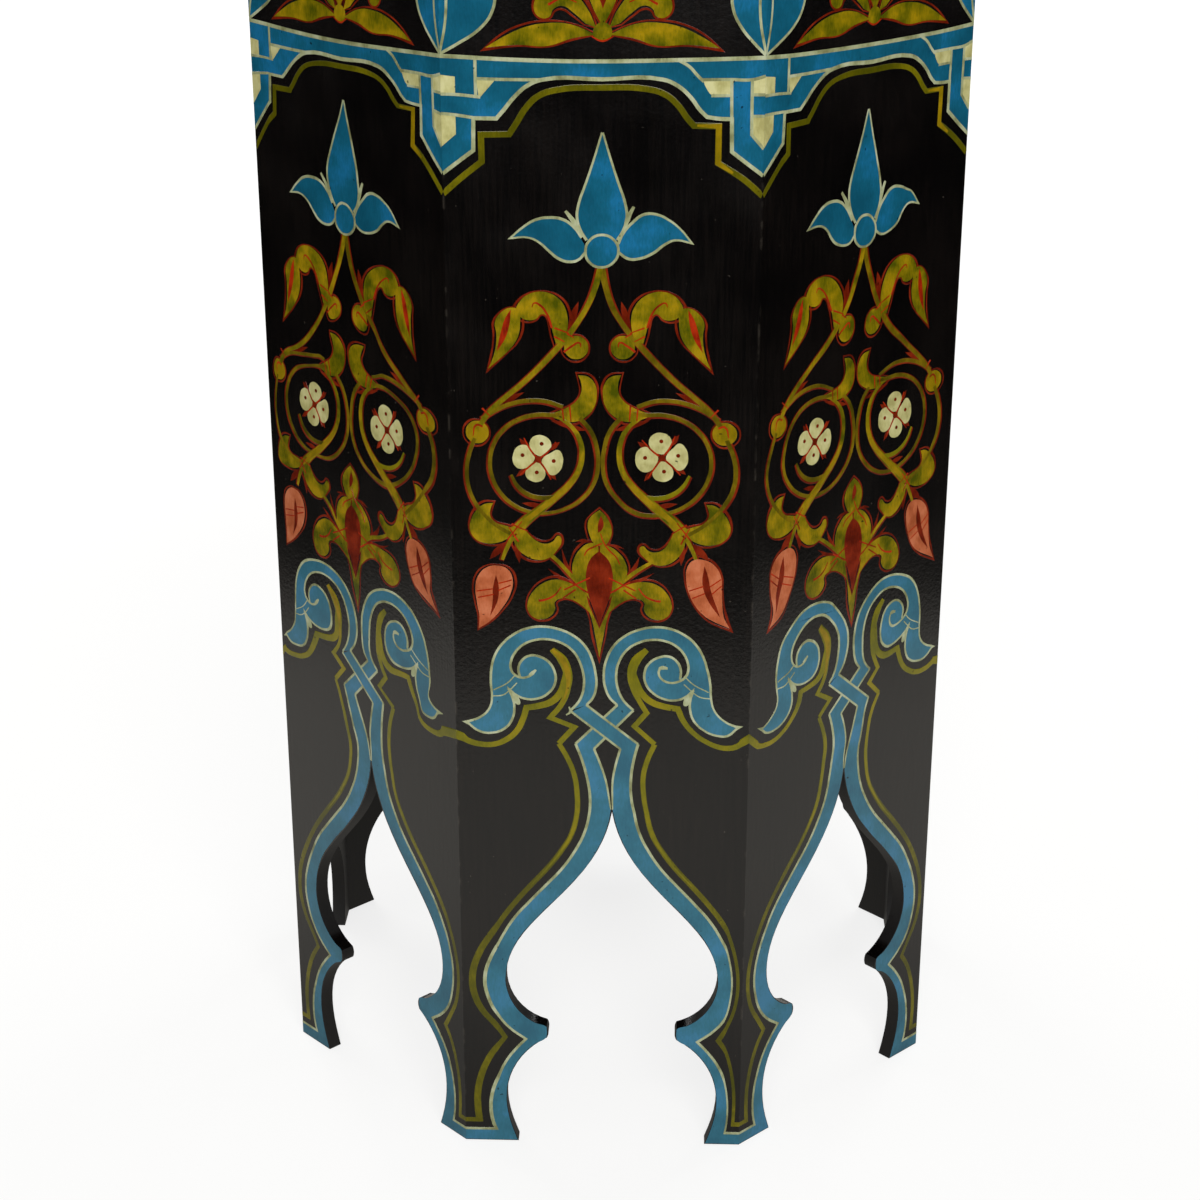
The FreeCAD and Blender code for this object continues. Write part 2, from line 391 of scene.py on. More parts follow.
def oliveStem(points, widths, right="olive", left="olive"):
    across, up = brush["shadow"]
    shadow = [(u + across, z + up, *rest) for u, z, *rest in points]
    bothHands(paintLine, "darkRed", "under", shadow, np.atleast_1d(widths) + brush["shadowSpread"])
    paintLine(right, "body", points, widths)
    paintLine(left, "body", otherHand(points), widths)


def edgeInRed(points):
    # tight here, free there
    lilt = np.sin(brush["lilt"] * np.arange(len(points)) + len(points))
    gap = brush["redGap"] + brush["looseness"] * lilt
    paintLine("darkRed", "under", outside(points, gap), brush["redWidths"], True)


def edgedLeaf(colour, points):
    for leaf in (points, otherHand(points)):
        edgeInRed(leaf)
        paintArea(colour, "body", leaf)


# Strapwork band across the panel: two blue straps with cream edges that cross at the panel's corners.
band = {
    "ground": [
        (-75, 589.8, sharp), (-40, 588.4), (0, 587.8), (40, 588.4), (75, 589.8, sharp), (75, 537, sharp),
        (67.5, 542.3), (60.3, 547.5, sharp), (60, 562, sharp), (49, 562.4, sharp), (45.5, 566), (41, 571.8),
        (35, 577), (28, 579.8), (0, 580.2), (-28, 579.8), (-35, 577), (-41, 571.8), (-45.5, 566),
        (-49, 562.2, sharp), (-60, 562, sharp), (-60.3, 547.5, sharp), (-67.5, 542.3), (-75, 537, sharp)],
    "gaps": [
        [(46.3, 580.3, sharp), (59, 580.4, sharp), (59, 573, sharp), (51, 572.8), (48, 576.2)],
        [(69, 580.2, sharp), (75, 581.8, sharp), (75, 573.4, sharp), (69.3, 573.4, sharp)],
        [(69.3, 563.6, sharp), (75, 563.6, sharp), (75, 548.8, sharp), (69.3, 555.5, sharp)],
        [(-58.3, 580, sharp), (-49.3, 580, sharp), (-57.2, 571, sharp)],
        [(-75, 581.8, sharp), (-68.2, 581, sharp), (-68.2, 573, sharp), (-75, 573.2, sharp)],
        [(-75, 563.6, sharp), (-68.3, 563.2, sharp), (-68.3, 554.4, sharp), (-75, 548.8, sharp)]],
    "edges": [
        [(-75, 590.4), (-40, 589), (0, 588.3), (40, 589), (75, 590.4)],
        [(-75, 536), (-67.5, 541.6), (-60.3, 547, sharp), (-60, 562, sharp), (-49.3, 562, sharp),
         (-45.8, 566), (-41, 571.8), (-35, 577.1), (-28, 580), (0, 580.2), (28, 580), (35, 577.1),
         (41, 571.8), (45.2, 566.2), (48.5, 563, sharp), (54, 562.3), (60, 562.2, sharp),
         (60.3, 547, sharp), (67.5, 541.6), (75, 536)]],
    "edgeWidth": 2.0,
    "crossings": [
        [(35.5, 588.6), (40, 586), (44, 581.8), (46.8, 579.2)],
        [(46, 580), (59, 580.3), (69, 580.4), (75, 582)],
        [(59.6, 580.4), (59.9, 562)],
        [(69, 580.4), (69.1, 563), (69.2, 555, sharp), (75, 548.4)],
        [(50.3, 572.8), (59.6, 573)],
        [(69.2, 573.5), (75, 573.5)],
        [(69.2, 563.6), (75, 563.6)],
        [(-58.7, 589), (-58.6, 572)],
        [(-28, 580), (-45, 580), (-58, 580.2)],
        [(-56.5, 571.8), (-68, 572.8), (-75, 573)],
        [(-60, 562.2), (-68, 563.3), (-75, 564)]],
    "crossingWidth": 1.6,
}
paintArea("blue", "body", band["ground"])
for gap in band["gaps"]:
    paintArea("white", "mark", gap)
for edge in band["edges"]:
    paintLine("cream", "strap", edge, band["edgeWidth"])
for edge in band["crossings"]:
    paintLine("cream", "strapMark", edge, band["crossingWidth"])

# The olive line steps down with the band and meets its neighbour in a point on the table's corner.
oliveLine = {
    "points": [
        (75, 526.4), (66, 534.2), (54, 541.6, sharp), (54, 558.8, sharp), (42.4, 558.9, sharp),
        (39.6, 562), (34.5, 568.8), (29, 573.2), (21, 575.6), (0, 576.4), (-21, 575.4), (-29.5, 572.6),
        (-35, 567.6), (-40.6, 559), (-43.4, 554.8, sharp), (-56.6, 554.4, sharp), (-56.4, 541.8, sharp),
        (-66, 534.2), (-75, 526.4)],
    "width": 3.1,
}
paintLine("moss", "body", oliveLine["points"], oliveLine["width"])

# Three-petalled blue palmette on a ring, tip upwards.
palmette = {
    "middle": [
        (0, 555, sharp), (3.6, 543), (7.2, 532), (10.6, 522), (11.4, 515.5), (9.5, 508.5), (5, 502, sharp),
        (-5, 502, sharp), (-9.5, 508.5), (-11.4, 515.5), (-10.6, 522), (-7.2, 532), (-3.6, 543)],
    "middleEdge": [
        (7.2, 504.8), (9.9, 509.2), (11.7, 515.5), (10.9, 522.2), (7.5, 532.2), (3.9, 543.2), (0.2, 555.6)],
    "side": [
        (0, 2, sharp), (0.6, -1.6), (4.5, -4), (9.5, -4.1), (16, -1.8), (21.5, 2.2), (26.5, 4.4),
        (33.8, 3.2, sharp), (29.3, 8.8), (24.4, 13.1), (18.4, 16.1), (12.5, 16.3), (7.2, 12.8),
        (2.7, 7.8)],
    "sideEdge": [
        (0, -1.2), (4.5, -4.3), (9.5, -4.4), (16, -2), (21.5, 2), (26.5, 4.1), (34.6, 2.5, sharp),
        (29.6, 9), (24.5, 13.4), (18.4, 16.5), (12.3, 16.7), (6.9, 13.1), (2.3, 8), (-0.2, 3)],
    "leftSide": [
        (-8, 502, sharp), (-8.4, 498.6), (-11, 495.7), (-15, 494.7), (-20, 496), (-25, 499.8), (-30, 504.2),
        (-35, 506.3), (-42.4, 506, sharp), (-37.6, 510.2), (-31.4, 514), (-24.8, 515.2), (-18.4, 514.2),
        (-13.6, 510.6), (-10, 505.6)],
    "leftSideEdge": [
        (-8, 498.8), (-11, 495.4), (-15, 494.4), (-20, 495.7), (-25, 499.5), (-30, 503.9), (-35, 506),
        (-43.4, 505.6, sharp), (-37.8, 510.5), (-31.5, 514.4), (-24.7, 515.6), (-18.2, 514.6), (-13.2, 511),
        (-9.6, 506)],
    "sideFoot": (8, 500), "rightLift": 1.5,
    "dart": [(10.8, 509.4), (12, 514.6), (15, 520.8)],
    "leftDart": [(-10.6, 508.4), (-13, 513.2), (-17.2, 518.8)],
    "ring": (0, 499.5, 7.8),
    "middleWidths": (1.5, 1.4, 1.0), "sideWidths": (1.4, 1.5, 0.9, 1.5, 1.4),
    "dartWidths": (0.8, 2.6, 1.4), "ringWidth": 1.4,
}
rightSide, rightSideEdge = (
    turned(palmette[shape], palmette["sideFoot"], palmette["rightLift"]) for shape in ("side", "sideEdge"))
paintArea("blue", "body", palmette["middle"])
bothHands(paintLine, "cream", "mark", palmette["middleEdge"], palmette["middleWidths"])
for side in (rightSide, palmette["leftSide"]):
    paintArea("blue", "body", side)
for edge in (rightSideEdge, palmette["leftSideEdge"]):
    paintLine("cream", "mark", edge, palmette["sideWidths"])
for dart in ("dart", "leftDart"):
    paintLine("cream", "strap", palmette[dart], palmette["dartWidths"])
paintArea("blue", "strap", ring(*palmette["ring"]))
paintLine("cream", "strapMark", ring(*palmette["ring"]), palmette["ringWidth"], True)

# Olive branch that forks under the palmette: hooked leaf, balls, horn, and the coil round the flower.
branch = {
    "mainStem": [
        (0.3, 492), (2.3, 483), (6, 472.5), (11, 464), (16.5, 456.5), (23, 449), (30, 441.5), (37.5, 434.2),
        (46, 427), (53.5, 420), (58.5, 413)],
    "mainWidths": (3.4, 3, 2.8, 3.2, 3, 2.8, 2.8, 2.8),
    "hook": [
        (17.4, 455, sharp), (15.6, 460.5), (15.2, 466.5), (16.6, 472.2), (19.8, 476.5), (24.6, 479.2),
        (29.8, 479.8), (34.8, 478.2), (38.4, 474.8), (39.8, 471), (38, 467.5), (34.5, 465.8), (30.6, 466.3),
        (27.6, 468.8), (25.2, 467.8), (23.4, 463.4), (22.2, 459), (21, 454.2, sharp)],
    "leaf": [
        (37.4, 471, sharp), (38, 466), (38.4, 460.5), (40.4, 455), (44, 450.4), (48.2, 446.4),
        (53.8, 441.4, sharp), (51.4, 447), (50, 452.5), (49.6, 459), (50.2, 464.4), (47.6, 469),
        (43, 471.8)],
    "leafCore": [
        (42.4, 471, sharp), (45, 467), (47.2, 460.5), (49.6, 450, sharp), (45.4, 456.5), (43.2, 463.5)],
    "hookVein": [(22.8, 462), (25.2, 469), (28.6, 473.2), (31.4, 474.2), (32.4, 472.2)],
    "smallBall": (11.2, 452.3, 5.8),
    "ballNeck": [(17.2, 456.2), (13, 453.6)],
    "ballVein": [(17.2, 450), (13, 453.2), (9.6, 454.6), (9, 452.4)],
    "endBall": (60.3, 409.2, 5.8),
    "endBallVein": [(57.4, 412), (60.4, 412.8), (62.4, 407.2)],
    "outerStem": [
        (61.5, 406), (64.6, 398), (66, 389.5), (65, 380.5), (61.8, 373), (57, 366.5), (50.5, 360.5),
        (44, 356.5)],
    "hornStem": [(57.5, 416), (50, 421), (42, 424.2), (34, 425.6), (26, 425.2), (18, 422.5)],
    "coil": [
        (10, 417), (4.6, 410), (1.8, 401), (1.2, 392), (3.2, 383), (8.5, 375.4), (16, 369.8),
        (25, 367.2), (34, 368), (42.5, 371.8), (49, 378), (53, 385.8), (54.2, 394.5), (52.3, 403),
        (47.3, 410.6), (40, 415.8), (31, 418.4), (23, 418.4), (16, 419)],
    "coilWidths": (2.4, 2.2, 2.1, 2.1, 2.3, 2.5),
    "innerCoil": [
        (42, 357), (36.5, 363.2), (29.5, 369.2), (22, 375.8), (15, 382.8), (10.9, 389.5), (9.2, 397),
        (10, 405), (13.5, 411.8), (19, 416.5)],
    "innerWidths": (6.6, 6, 5, 4.2, 3.5, 3.1, 2.9, 2.7, 2.4, 2),
    "cradle": [(22, 376.2), (29, 375.6), (35.5, 377.4), (40.8, 381.8), (43.8, 387.5)],
    "horn": [
        (10.4, 438.6, sharp), (5.4, 437.6), (2.2, 433.8), (1.5, 428.3), (2.8, 422.5), (6.8, 417.6),
        (12.2, 415), (18.5, 415.6), (25.5, 418.4, sharp), (19.5, 420.6), (15.3, 422.6), (11.2, 425.8),
        (9, 430), (9, 434.6)],
    "ties": [
        [(14.6, 459.4), (21.6, 462)], [(16.8, 455.2), (21.8, 457.8)], [(12.2, 457.2), (15.6, 459.2)],
        [(14.2, 415), (14.8, 423.2)], [(17.8, 415.4), (18.3, 421.6)], [(53.6, 417.4), (57.4, 421.4)],
        [(38.4, 363), (45.4, 353.6)], [(36, 357.4), (43.4, 361.8)], [(44.8, 360.2), (40.4, 351.8)]],
    "spikes": [
        [(15.6, 456.5, sharp), (12.2, 464.5), (10.4, 470), (10.2, 475, sharp), (13.2, 470.5),
         (14.8, 464.5)],
        [(56, 417.2, sharp), (48, 424), (42.6, 428.2), (36.6, 429.8, sharp), (40.6, 426.6), (46, 423)],
        [(44.8, 352.6, sharp), (49.6, 350.4), (53, 347), (54.6, 342.8, sharp), (50.6, 345), (47.2, 348.4)],
        [(42.2, 352, sharp), (42.4, 346), (40.4, 340.4, sharp), (39.6, 346.4)],
        [(24, 415.4, sharp), (17, 414.2), (11, 412.8), (6.6, 410.4, sharp), (12, 410.6), (18, 412.4)],
        [(38.4, 372.8, sharp), (33, 373.2), (27.6, 371.4, sharp), (33, 370.6)]],
    "cradleWidths": (2.4, 2.8, 2.4, 1.4), "hornWidths": (2.6, 2.4, 2.2), "outerWidths": (2.4, 2.2, 2.4),
    "neckWidth": 4, "glintWidths": (1.4, 3.2, 3.4, 3, 2.8, 1.6), "glintPoints": 6,
    "veinWidths": (1.2, 1.2, 0.5), "tieWidths": (0.6, 1.0),
}
oliveStem(branch["coil"], branch["coilWidths"], "bronze", "bronze")
oliveStem(branch["innerCoil"], branch["innerWidths"])
oliveStem(branch["cradle"], branch["cradleWidths"], "sap", "bronze")
oliveStem(branch["hornStem"], branch["hornWidths"], "bronze", "bronze")
oliveStem(branch["outerStem"], branch["outerWidths"], "bronze", "bronze")
oliveStem(branch["mainStem"], branch["mainWidths"], "bronze")
for leaf in ("hook", "leaf", "horn"):
    edgedLeaf("olive", branch[leaf])
edgedLeaf("olive", ring(*branch["smallBall"]))
edgedLeaf("ochre", ring(*branch["endBall"]))
bothHands(paintLine, "olive", "body", branch["ballNeck"], branch["neckWidth"])
bothHands(paintArea, "red", "mark", branch["leafCore"])
coilGlint = branch["innerCoil"][:branch["glintPoints"]]
bothHands(paintLine, "ochre", "mark", coilGlint, branch["glintWidths"])
for vein in ("hookVein", "ballVein", "endBallVein"):
    bothHands(paintLine, "red", "mark", branch[vein], branch["veinWidths"])
for tie in branch["ties"]:
    bothHands(paintLine, "red", "mark", tie, branch["tieWidths"])
for spike in branch["spikes"]:
    bothHands(paintArea, "darkRed", "under", spike)

# White four-petalled flower inside the coil, parted by a red cross; the points are from its middle.
flower = {
    "places": [((30, 396.5), 5, 1), ((-30.6, 395.6), -10, 0.96)],  # middle, turn, size
    "petals": [
        [(-1.2, 2.2), (-4.8, 5), (-5.6, 9.4), (-2.8, 12.6), (1.4, 12.8), (4.8, 10.4), (5, 5.8), (1.6, 2.2)],
        [(2.2, 0.8), (6, 4.8), (9.2, 6.8), (12, 4), (12.8, 0), (12, -4.2), (9, -7), (5.8, -6), (2.2, -1.5)],
        [(1.2, -2), (4.4, -5), (5, -9), (2.5, -11.8), (-1.5, -12), (-4.6, -9.8), (-4.8, -6), (-1.5, -2)],
        [(-2, -1), (-5, -5.5), (-9, -6.6), (-12.2, -4), (-13, 0.5), (-11.5, 4.8), (-7.5, 6.4),
         (-4.5, 4.4), (-2, 1.2)]],
    "cross": [
        [(-9, 10), (-4.4, 4), (0, 0), (5, -5), (8.5, -9.5)],
        [(7.4, 10.8), (4, 4.6), (0, 0), (-4, -5), (-7.5, -9.8)]],
    "crossWidths": (0.6, 1.1, 1.3, 1.1, 0.6),
    "tuft": [(4.6, 5.6, sharp), (7.6, 7.2), (9.4, 11.2, sharp), (5.8, 9.2)],
    "dots": [(0.4, 8.6), (8, 0.6), (0.6, -7), (-8.2, 0.8)],
    "dotSize": 1.0, "heartSize": 1.7, "dotPoints": 6,
}
for middle, turn, size in flower["places"]:
    for petal in flower["petals"]:
        paintArea("white", "mark", turned(petal, middle, turn, size))
    for stroke in flower["cross"]:
        paintLine("red", "strap", turned(stroke, middle, turn, size), flower["crossWidths"])
    for quarter in (0, 90, 180, 270):
        paintArea("darkRed", "body", turned(flower["tuft"], middle, turn + quarter, size))
    for u, z in turned(flower["dots"], middle, turn, size):
        paintArea("darkRed", "strap", ring(u, z, flower["dotSize"], flower["dotPoints"]))
    paintArea("darkRed", "strapMark", ring(*middle, flower["heartSize"], flower["dotPoints"]))

# Lower leaves, the hanging salmon leaf, and the bud in the middle with its two curls.
lowerLeaves = {
    "upperLobe": [
        (40.6, 359, sharp), (46.5, 360.8), (51.6, 362.6), (54, 366), (53.8, 369.6),
        (52.6, 372.6, sharp), (56.8, 372), (61.2, 368.2), (64, 363), (64.4, 358.2), (61.6, 353.6),
        (56.5, 351.4), (50.8, 351.6), (46, 353.6), (42, 356, sharp)],
    "crescent": [
        (43, 354.5, sharp), (41.6, 349.2), (37.8, 344), (32.5, 341.2), (27.2, 341.6), (23, 345.2),
        (20.4, 350.2), (21.8, 352.6), (25, 349.6), (28.8, 348.8), (32.4, 350.6), (35, 354.2),
        (37, 358.2, sharp)],
    "budStem": [(26.5, 343.5), (20, 338.8), (13.5, 333.2), (8, 328)],
    "hangingStem": [(43, 355), (46.4, 348), (48.4, 342.6)],
    "hangingLeaf": [
        (46.6, 343.2), (51.6, 343.6), (57, 341), (60.6, 335), (61.2, 327), (61.8, 318.5), (63.4, 311.5),
        (66.6, 304.8, sharp), (58.6, 309), (52.8, 313.2), (47.8, 319), (44.6, 326), (43.2, 333.4),
        (43.6, 339.4)],
    "hangingCore": [
        (52.4, 340.4, sharp), (54.4, 334), (55.6, 327.5), (61.6, 311.4, sharp), (53.8, 322.8),
        (51.4, 331.6)],
    "hatches": [
        [(44.8, 326.8), (52, 329.4)], [(46.4, 322.8), (53.2, 325.8)],
        [(55, 329), (60.8, 333.4)], [(56, 325), (61, 329.8)]],
    "curl": [
        (6.5, 324.5, sharp), (10.5, 328), (16, 330.6), (22.5, 331.6), (28.5, 330), (33.3, 325.8), (36, 320),
        (35.6, 315), (32.5, 311.6), (28.3, 311), (24.3, 313), (22.3, 316.6), (22.4, 320.2), (19, 322.2),
        (14.5, 321.8), (10, 319.5), (4.6, 314.5, sharp)],
    "curlVein": [(19.5, 328), (23, 323.6), (28.3, 321.2), (30.6, 321)],
    "budPetal": [
        (0.6, 351, sharp), (5, 351), (9.8, 347.8), (13.2, 342.3), (13.9, 336.3), (11.8, 330.6), (8, 326.5),
        (4.6, 321.5, sharp), (6, 330), (6, 337), (3.8, 343.3), (0.4, 347.3, sharp)],
    "budTop": [
        (0, 369.5, sharp), (4.3, 365.5), (6.6, 360.5), (5.6, 355.2), (2.5, 351), (-2.5, 351), (-5.6, 355.2),
        (-6.6, 360.5), (-4.3, 365.5)],
    "budTopCore": [(0.8, 366.6, sharp), (2.3, 362.6), (1.2, 359), (-0.8, 357, sharp), (-0.8, 361.5)],
    "budCore": [
        (0, 347.8, sharp), (4.6, 343.2), (6.6, 336.8), (6.6, 330), (5, 322.5), (2.3, 314.5),
        (0, 307.6, sharp), (-2.3, 314.5), (-5, 322.5), (-6.6, 330), (-6.6, 336.8), (-4.6, 343.2)],
    "budFoot": [
        (9, 327.4, sharp), (6.5, 319), (3.8, 311), (2.1, 302), (0, 290, sharp), (-2.1, 302), (-3.8, 311),
        (-6.5, 319), (-9, 327.4, sharp), (0, 306, sharp)],
    "budTies": [
        [(4.8, 333.4), (10.6, 330.4), (18, 326.6)], [(5.6, 325.4), (10.8, 328.6), (15.4, 331.4)],
        [(12, 327), (18.4, 322.4)]],
    "budVeins": [
        [(0.6, 357), (2.4, 352.5), (5, 348.8), (8.6, 345), (10.4, 341)],
        [(1.6, 352), (-2.6, 349.6), (-6.4, 347.2), (-7.8, 344.6)]],
    "budSpikes": [
        [(9.5, 331, sharp), (15.5, 338.2), (20.3, 346.5, sharp), (17.8, 337.8)],
        [(12, 329, sharp), (19, 333), (27, 336.8, sharp), (19.5, 331)],
        [(3, 351, sharp), (8.4, 352.4), (13, 350.4, sharp), (8, 351)]],
    "hatchWidth": 0.8, "budStemWidths": (2, 2.2, 2.6), "hangingStemWidths": (2.6, 2.2, 1.8),
    "curlVeinWidths": (0.7, 1.2, 1.6), "tieWidths": (1.0, 0.8), "veinWidths": (0.6, 1.0, 0.6),
}


def hangLeaf(leaf, core, hatches):
    edgeInRed(leaf)
    paintArea("salmon", "body", leaf)
    paintArea("darkRed", "mark", core)
    for hatch in hatches:
        paintLine("red", "mark", hatch, lowerLeaves["hatchWidth"])


oliveStem(lowerLeaves["budStem"], lowerLeaves["budStemWidths"])
oliveStem(lowerLeaves["hangingStem"], lowerLeaves["hangingStemWidths"])
for leaf in ("upperLobe", "crescent", "curl", "budPetal"):
    edgedLeaf("olive", lowerLeaves[leaf])
hangLeaf(lowerLeaves["hangingLeaf"], lowerLeaves["hangingCore"], lowerLeaves["hatches"])
bothHands(paintLine, "red", "mark", lowerLeaves["curlVein"], lowerLeaves["curlVeinWidths"])
for middle in ("budTop", "budFoot"):
    edgeInRed(lowerLeaves[middle])
    paintArea("olive", "body", lowerLeaves[middle])
for core in ("budTopCore", "budCore"):
    paintArea("darkRed", "mark", lowerLeaves[core])
for tie in lowerLeaves["budTies"]:
    bothHands(paintLine, "red", "strap", tie, lowerLeaves["tieWidths"])
for vein in lowerLeaves["budVeins"]:
    paintLine("red", "strap", vein, lowerLeaves["veinWidths"])
for spike in lowerLeaves["budSpikes"]:
    bothHands(paintArea, "darkRed", "under", spike)

# Blue volutes over the arch; each ends in a coil and sends a strap down to the crossing.
volute = {
    "strap": [
        (7.8, 263.8, sharp), (4.5, 268), (2.6, 274), (2.4, 281), (4, 289), (7.5, 296), (13, 301.5),
        (20, 305), (28, 306.5), (36, 305.5), (43, 302), (48.5, 297), (52.5, 290.5), (54.5, 283),
        (55.5, 275), (56, 268.5), (58.5, 261), (64, 256), (71.5, 253, sharp), (65, 248.5), (58, 248),
        (51.5, 250.5), (47, 255.5), (45.3, 262), (46, 268), (47.6, 273.5, sharp), (43.4, 279, sharp),
        (45.4, 283.5), (45.2, 287.8), (43.2, 292.6), (39.2, 297), (33.5, 299.8), (26.5, 300.5),
        (19.5, 298.8), (13.5, 294.7), (9.8, 288.5), (8, 281), (8.2, 274), (9.8, 268.4), (12, 264.6),
        (15.8, 261, sharp)],
    "coil": [
        (43.4, 279, sharp), (41.4, 279.6), (40.8, 284.5), (38.4, 288.6), (34.8, 290.6), (30.4, 290),
        (25.8, 287), (23.2, 282), (23.5, 276), (27, 270.8), (32.5, 267.8), (38.5, 267.5), (43.5, 269.8),
        (47.6, 273.5, sharp)],
    "outerEdge": [
        (7.8, 263.9), (4.3, 268), (2.3, 274), (2.1, 281), (3.7, 289.2), (7.2, 296.4),
        (12.8, 301.9), (20, 305.4), (28, 306.9), (36.2, 305.9), (43.3, 302.4), (48.9, 297.3), (52.9, 290.7),
        (54.9, 283), (55.9, 275), (56.4, 268.6), (58.8, 261.3), (64.2, 256.4), (72.6, 253.4, sharp),
        (65, 248.2), (58, 247.6), (51.2, 250.2), (46.6, 255.4), (44.9, 262), (45.4, 267.6), (46.8, 271.6)],
    "innerEdge": [
        (15.9, 261), (12.3, 264.8), (10.1, 268.5), (8.5, 274), (8.3, 281), (10.1, 288.3), (13.8, 294.3),
        (19.7, 298.4), (26.5, 300.1), (33.3, 299.4), (39, 296.6), (42.8, 292.4), (44.8, 287.7),
        (45, 283.5), (43.2, 279.6), (39.6, 277.2), (35, 276.6), (31.4, 278.4), (29.9, 282),
        (31.2, 285.2)],
    "coilEdge": [
        (40.6, 278.4), (41, 284.4), (38.6, 288.9), (34.8, 291), (30.2, 290.4), (25.4, 287.3), (22.8, 282),
        (23.1, 275.8), (26.8, 270.4), (32.4, 267.3), (38.6, 267), (43.8, 269.4), (47.4, 272.6)],
    "sharedPoints": 14,  # of the inner edge, before the left coil ends in its own way
    "leftCoilEnd": [(-43.6, 280.6), (-40.4, 278.8), (-36.8, 279.2), (-33.4, 281.4)],
    "eye": [(30.2, 284.2), (32, 284.8), (34.6, 284.4)],
    "leftEye": [(-36, 280.4), (-34, 281.6), (-32.2, 283.2)],
    "bindings": [
        [(43.2, 279.8), (47.4, 275.6), (55, 271.6)],
        [(42.4, 275.8), (46.6, 271.6), (50, 269), (56, 268.2)]],
    "dart": [(47.8, 274, sharp), (43.8, 270), (41.6, 265.8), (42, 263.8), (43.6, 264), (45.6, 268)],
    "edgeWidth": 1.4, "eyeWidths": (1.6, 2.4, 1.4), "leftEyeWidths": (0.8, 2, 1.2), "bindingWidth": 0.7,
}
# the volutes take the paler blue, whose lightness is a painted sheen of the floor's reflection
for shape in ("strap", "coil"):
    bothHands(paintArea, "paleBlue", "body", volute[shape])
for edge in ("outerEdge", "coilEdge"):
    bothHands(paintLine, "cream", "mark", volute[edge], volute["edgeWidth"])
sharedEdge = volute["innerEdge"][:volute["sharedPoints"]]
leftInnerEdge = otherHand(sharedEdge) + volute["leftCoilEnd"]
for edge in (volute["innerEdge"], leftInnerEdge):
    paintLine("cream", "mark", edge, volute["edgeWidth"])
for eye in ("eye", "leftEye"):
    paintLine("cream", "strap", volute[eye], volute[eye + "Widths"])
for binding in volute["bindings"]:
    bothHands(paintLine, "cream", "strap", binding, volute["bindingWidth"])
bothHands(paintArea, "cream", "strap", volute["dart"])

# The two straps cross in an X; the one that comes down from the left lies on top.
crossing = {
    "under": [(15.8, 261, sharp), (8, 263.8, sharp), (-16, 242, sharp), (-6.8, 239.2, sharp)],
    "over": [(-15.8, 260, sharp), (-8, 263.8, sharp), (16, 242, sharp), (6.8, 239.2, sharp)],
    "underEdges": [
        [(8, 263.9, sharp), (-16, 242, sharp)], [(15.9, 261, sharp), (-6.8, 239.2, sharp)]],
    "overEdges": [
        [(-8, 263.9, sharp), (16, 242, sharp)], [(-16.2, 260.4, sharp), (6.8, 239.2, sharp)]],
}
# the crossing straps take the paler blue with its painted sheen
paintArea("paleBlue", "body", crossing["under"])
for edge in crossing["underEdges"]:
    paintLine("cream", "mark", edge, volute["edgeWidth"])
paintArea("paleBlue", "strap", crossing["over"])
for edge in crossing["overEdges"]:
    paintLine("cream", "strapMark", edge, volute["edgeWidth"])

# Olive line inside the volute: a rounded stroke beside the coil, a zigzag by the crossing, and a swag
# that runs over the board's edge and meets its neighbour on the table's corner.
voluteLine = {
    "zigzag": [
        (24, 294.6), (18.6, 288.6), (16.2, 281), (16.6, 273.5), (19.4, 266), (22.6, 259.6, sharp),
        (15.6, 252, sharp), (24.6, 242, sharp)],
    "leftZigzag": [
        (-24, 294.6), (-18.6, 288.6), (-16.2, 281), (-16.8, 273.5), (-20, 265), (-26.8, 256.6, sharp),
        (-15.2, 251.4, sharp), (-24.6, 242, sharp)],
    "zigzagWidths": (3, 5.2, 4.8, 3.4, 2.9, 2.9, 2.9, 2.9),
    "swag": [
        (17, 283), (18.4, 276.6), (20.8, 270.4), (25.5, 265.6), (32, 263.2), (38.6, 262, sharp),
        (41.2, 255), (45.4, 248.6), (51.4, 243.8), (58.4, 241), (65.4, 241), (70, 242.2), (73, 243.8),
        (75, 246), (76.4, 247.7)],
    "swagWidths": (2.6, 3.8, 3.8, 3.4, 3.2, 3, 3.1, 3.3, 3.4, 3.6),
    "glintWidths": (1.8, 3.8, 3.4, 1.8, 0.6), "glintPoints": 5,
}
for zigzag in ("zigzag", "leftZigzag"):
    paintLine("sap", "body", voluteLine[zigzag], voluteLine["zigzagWidths"])
bothHands(paintLine, "sap", "body", voluteLine["swag"], voluteLine["swagWidths"])
zigzagGlint = voluteLine["leftZigzag"][:voluteLine["glintPoints"]]
paintLine("ochre", "mark", zigzagGlint, voluteLine["glintWidths"])

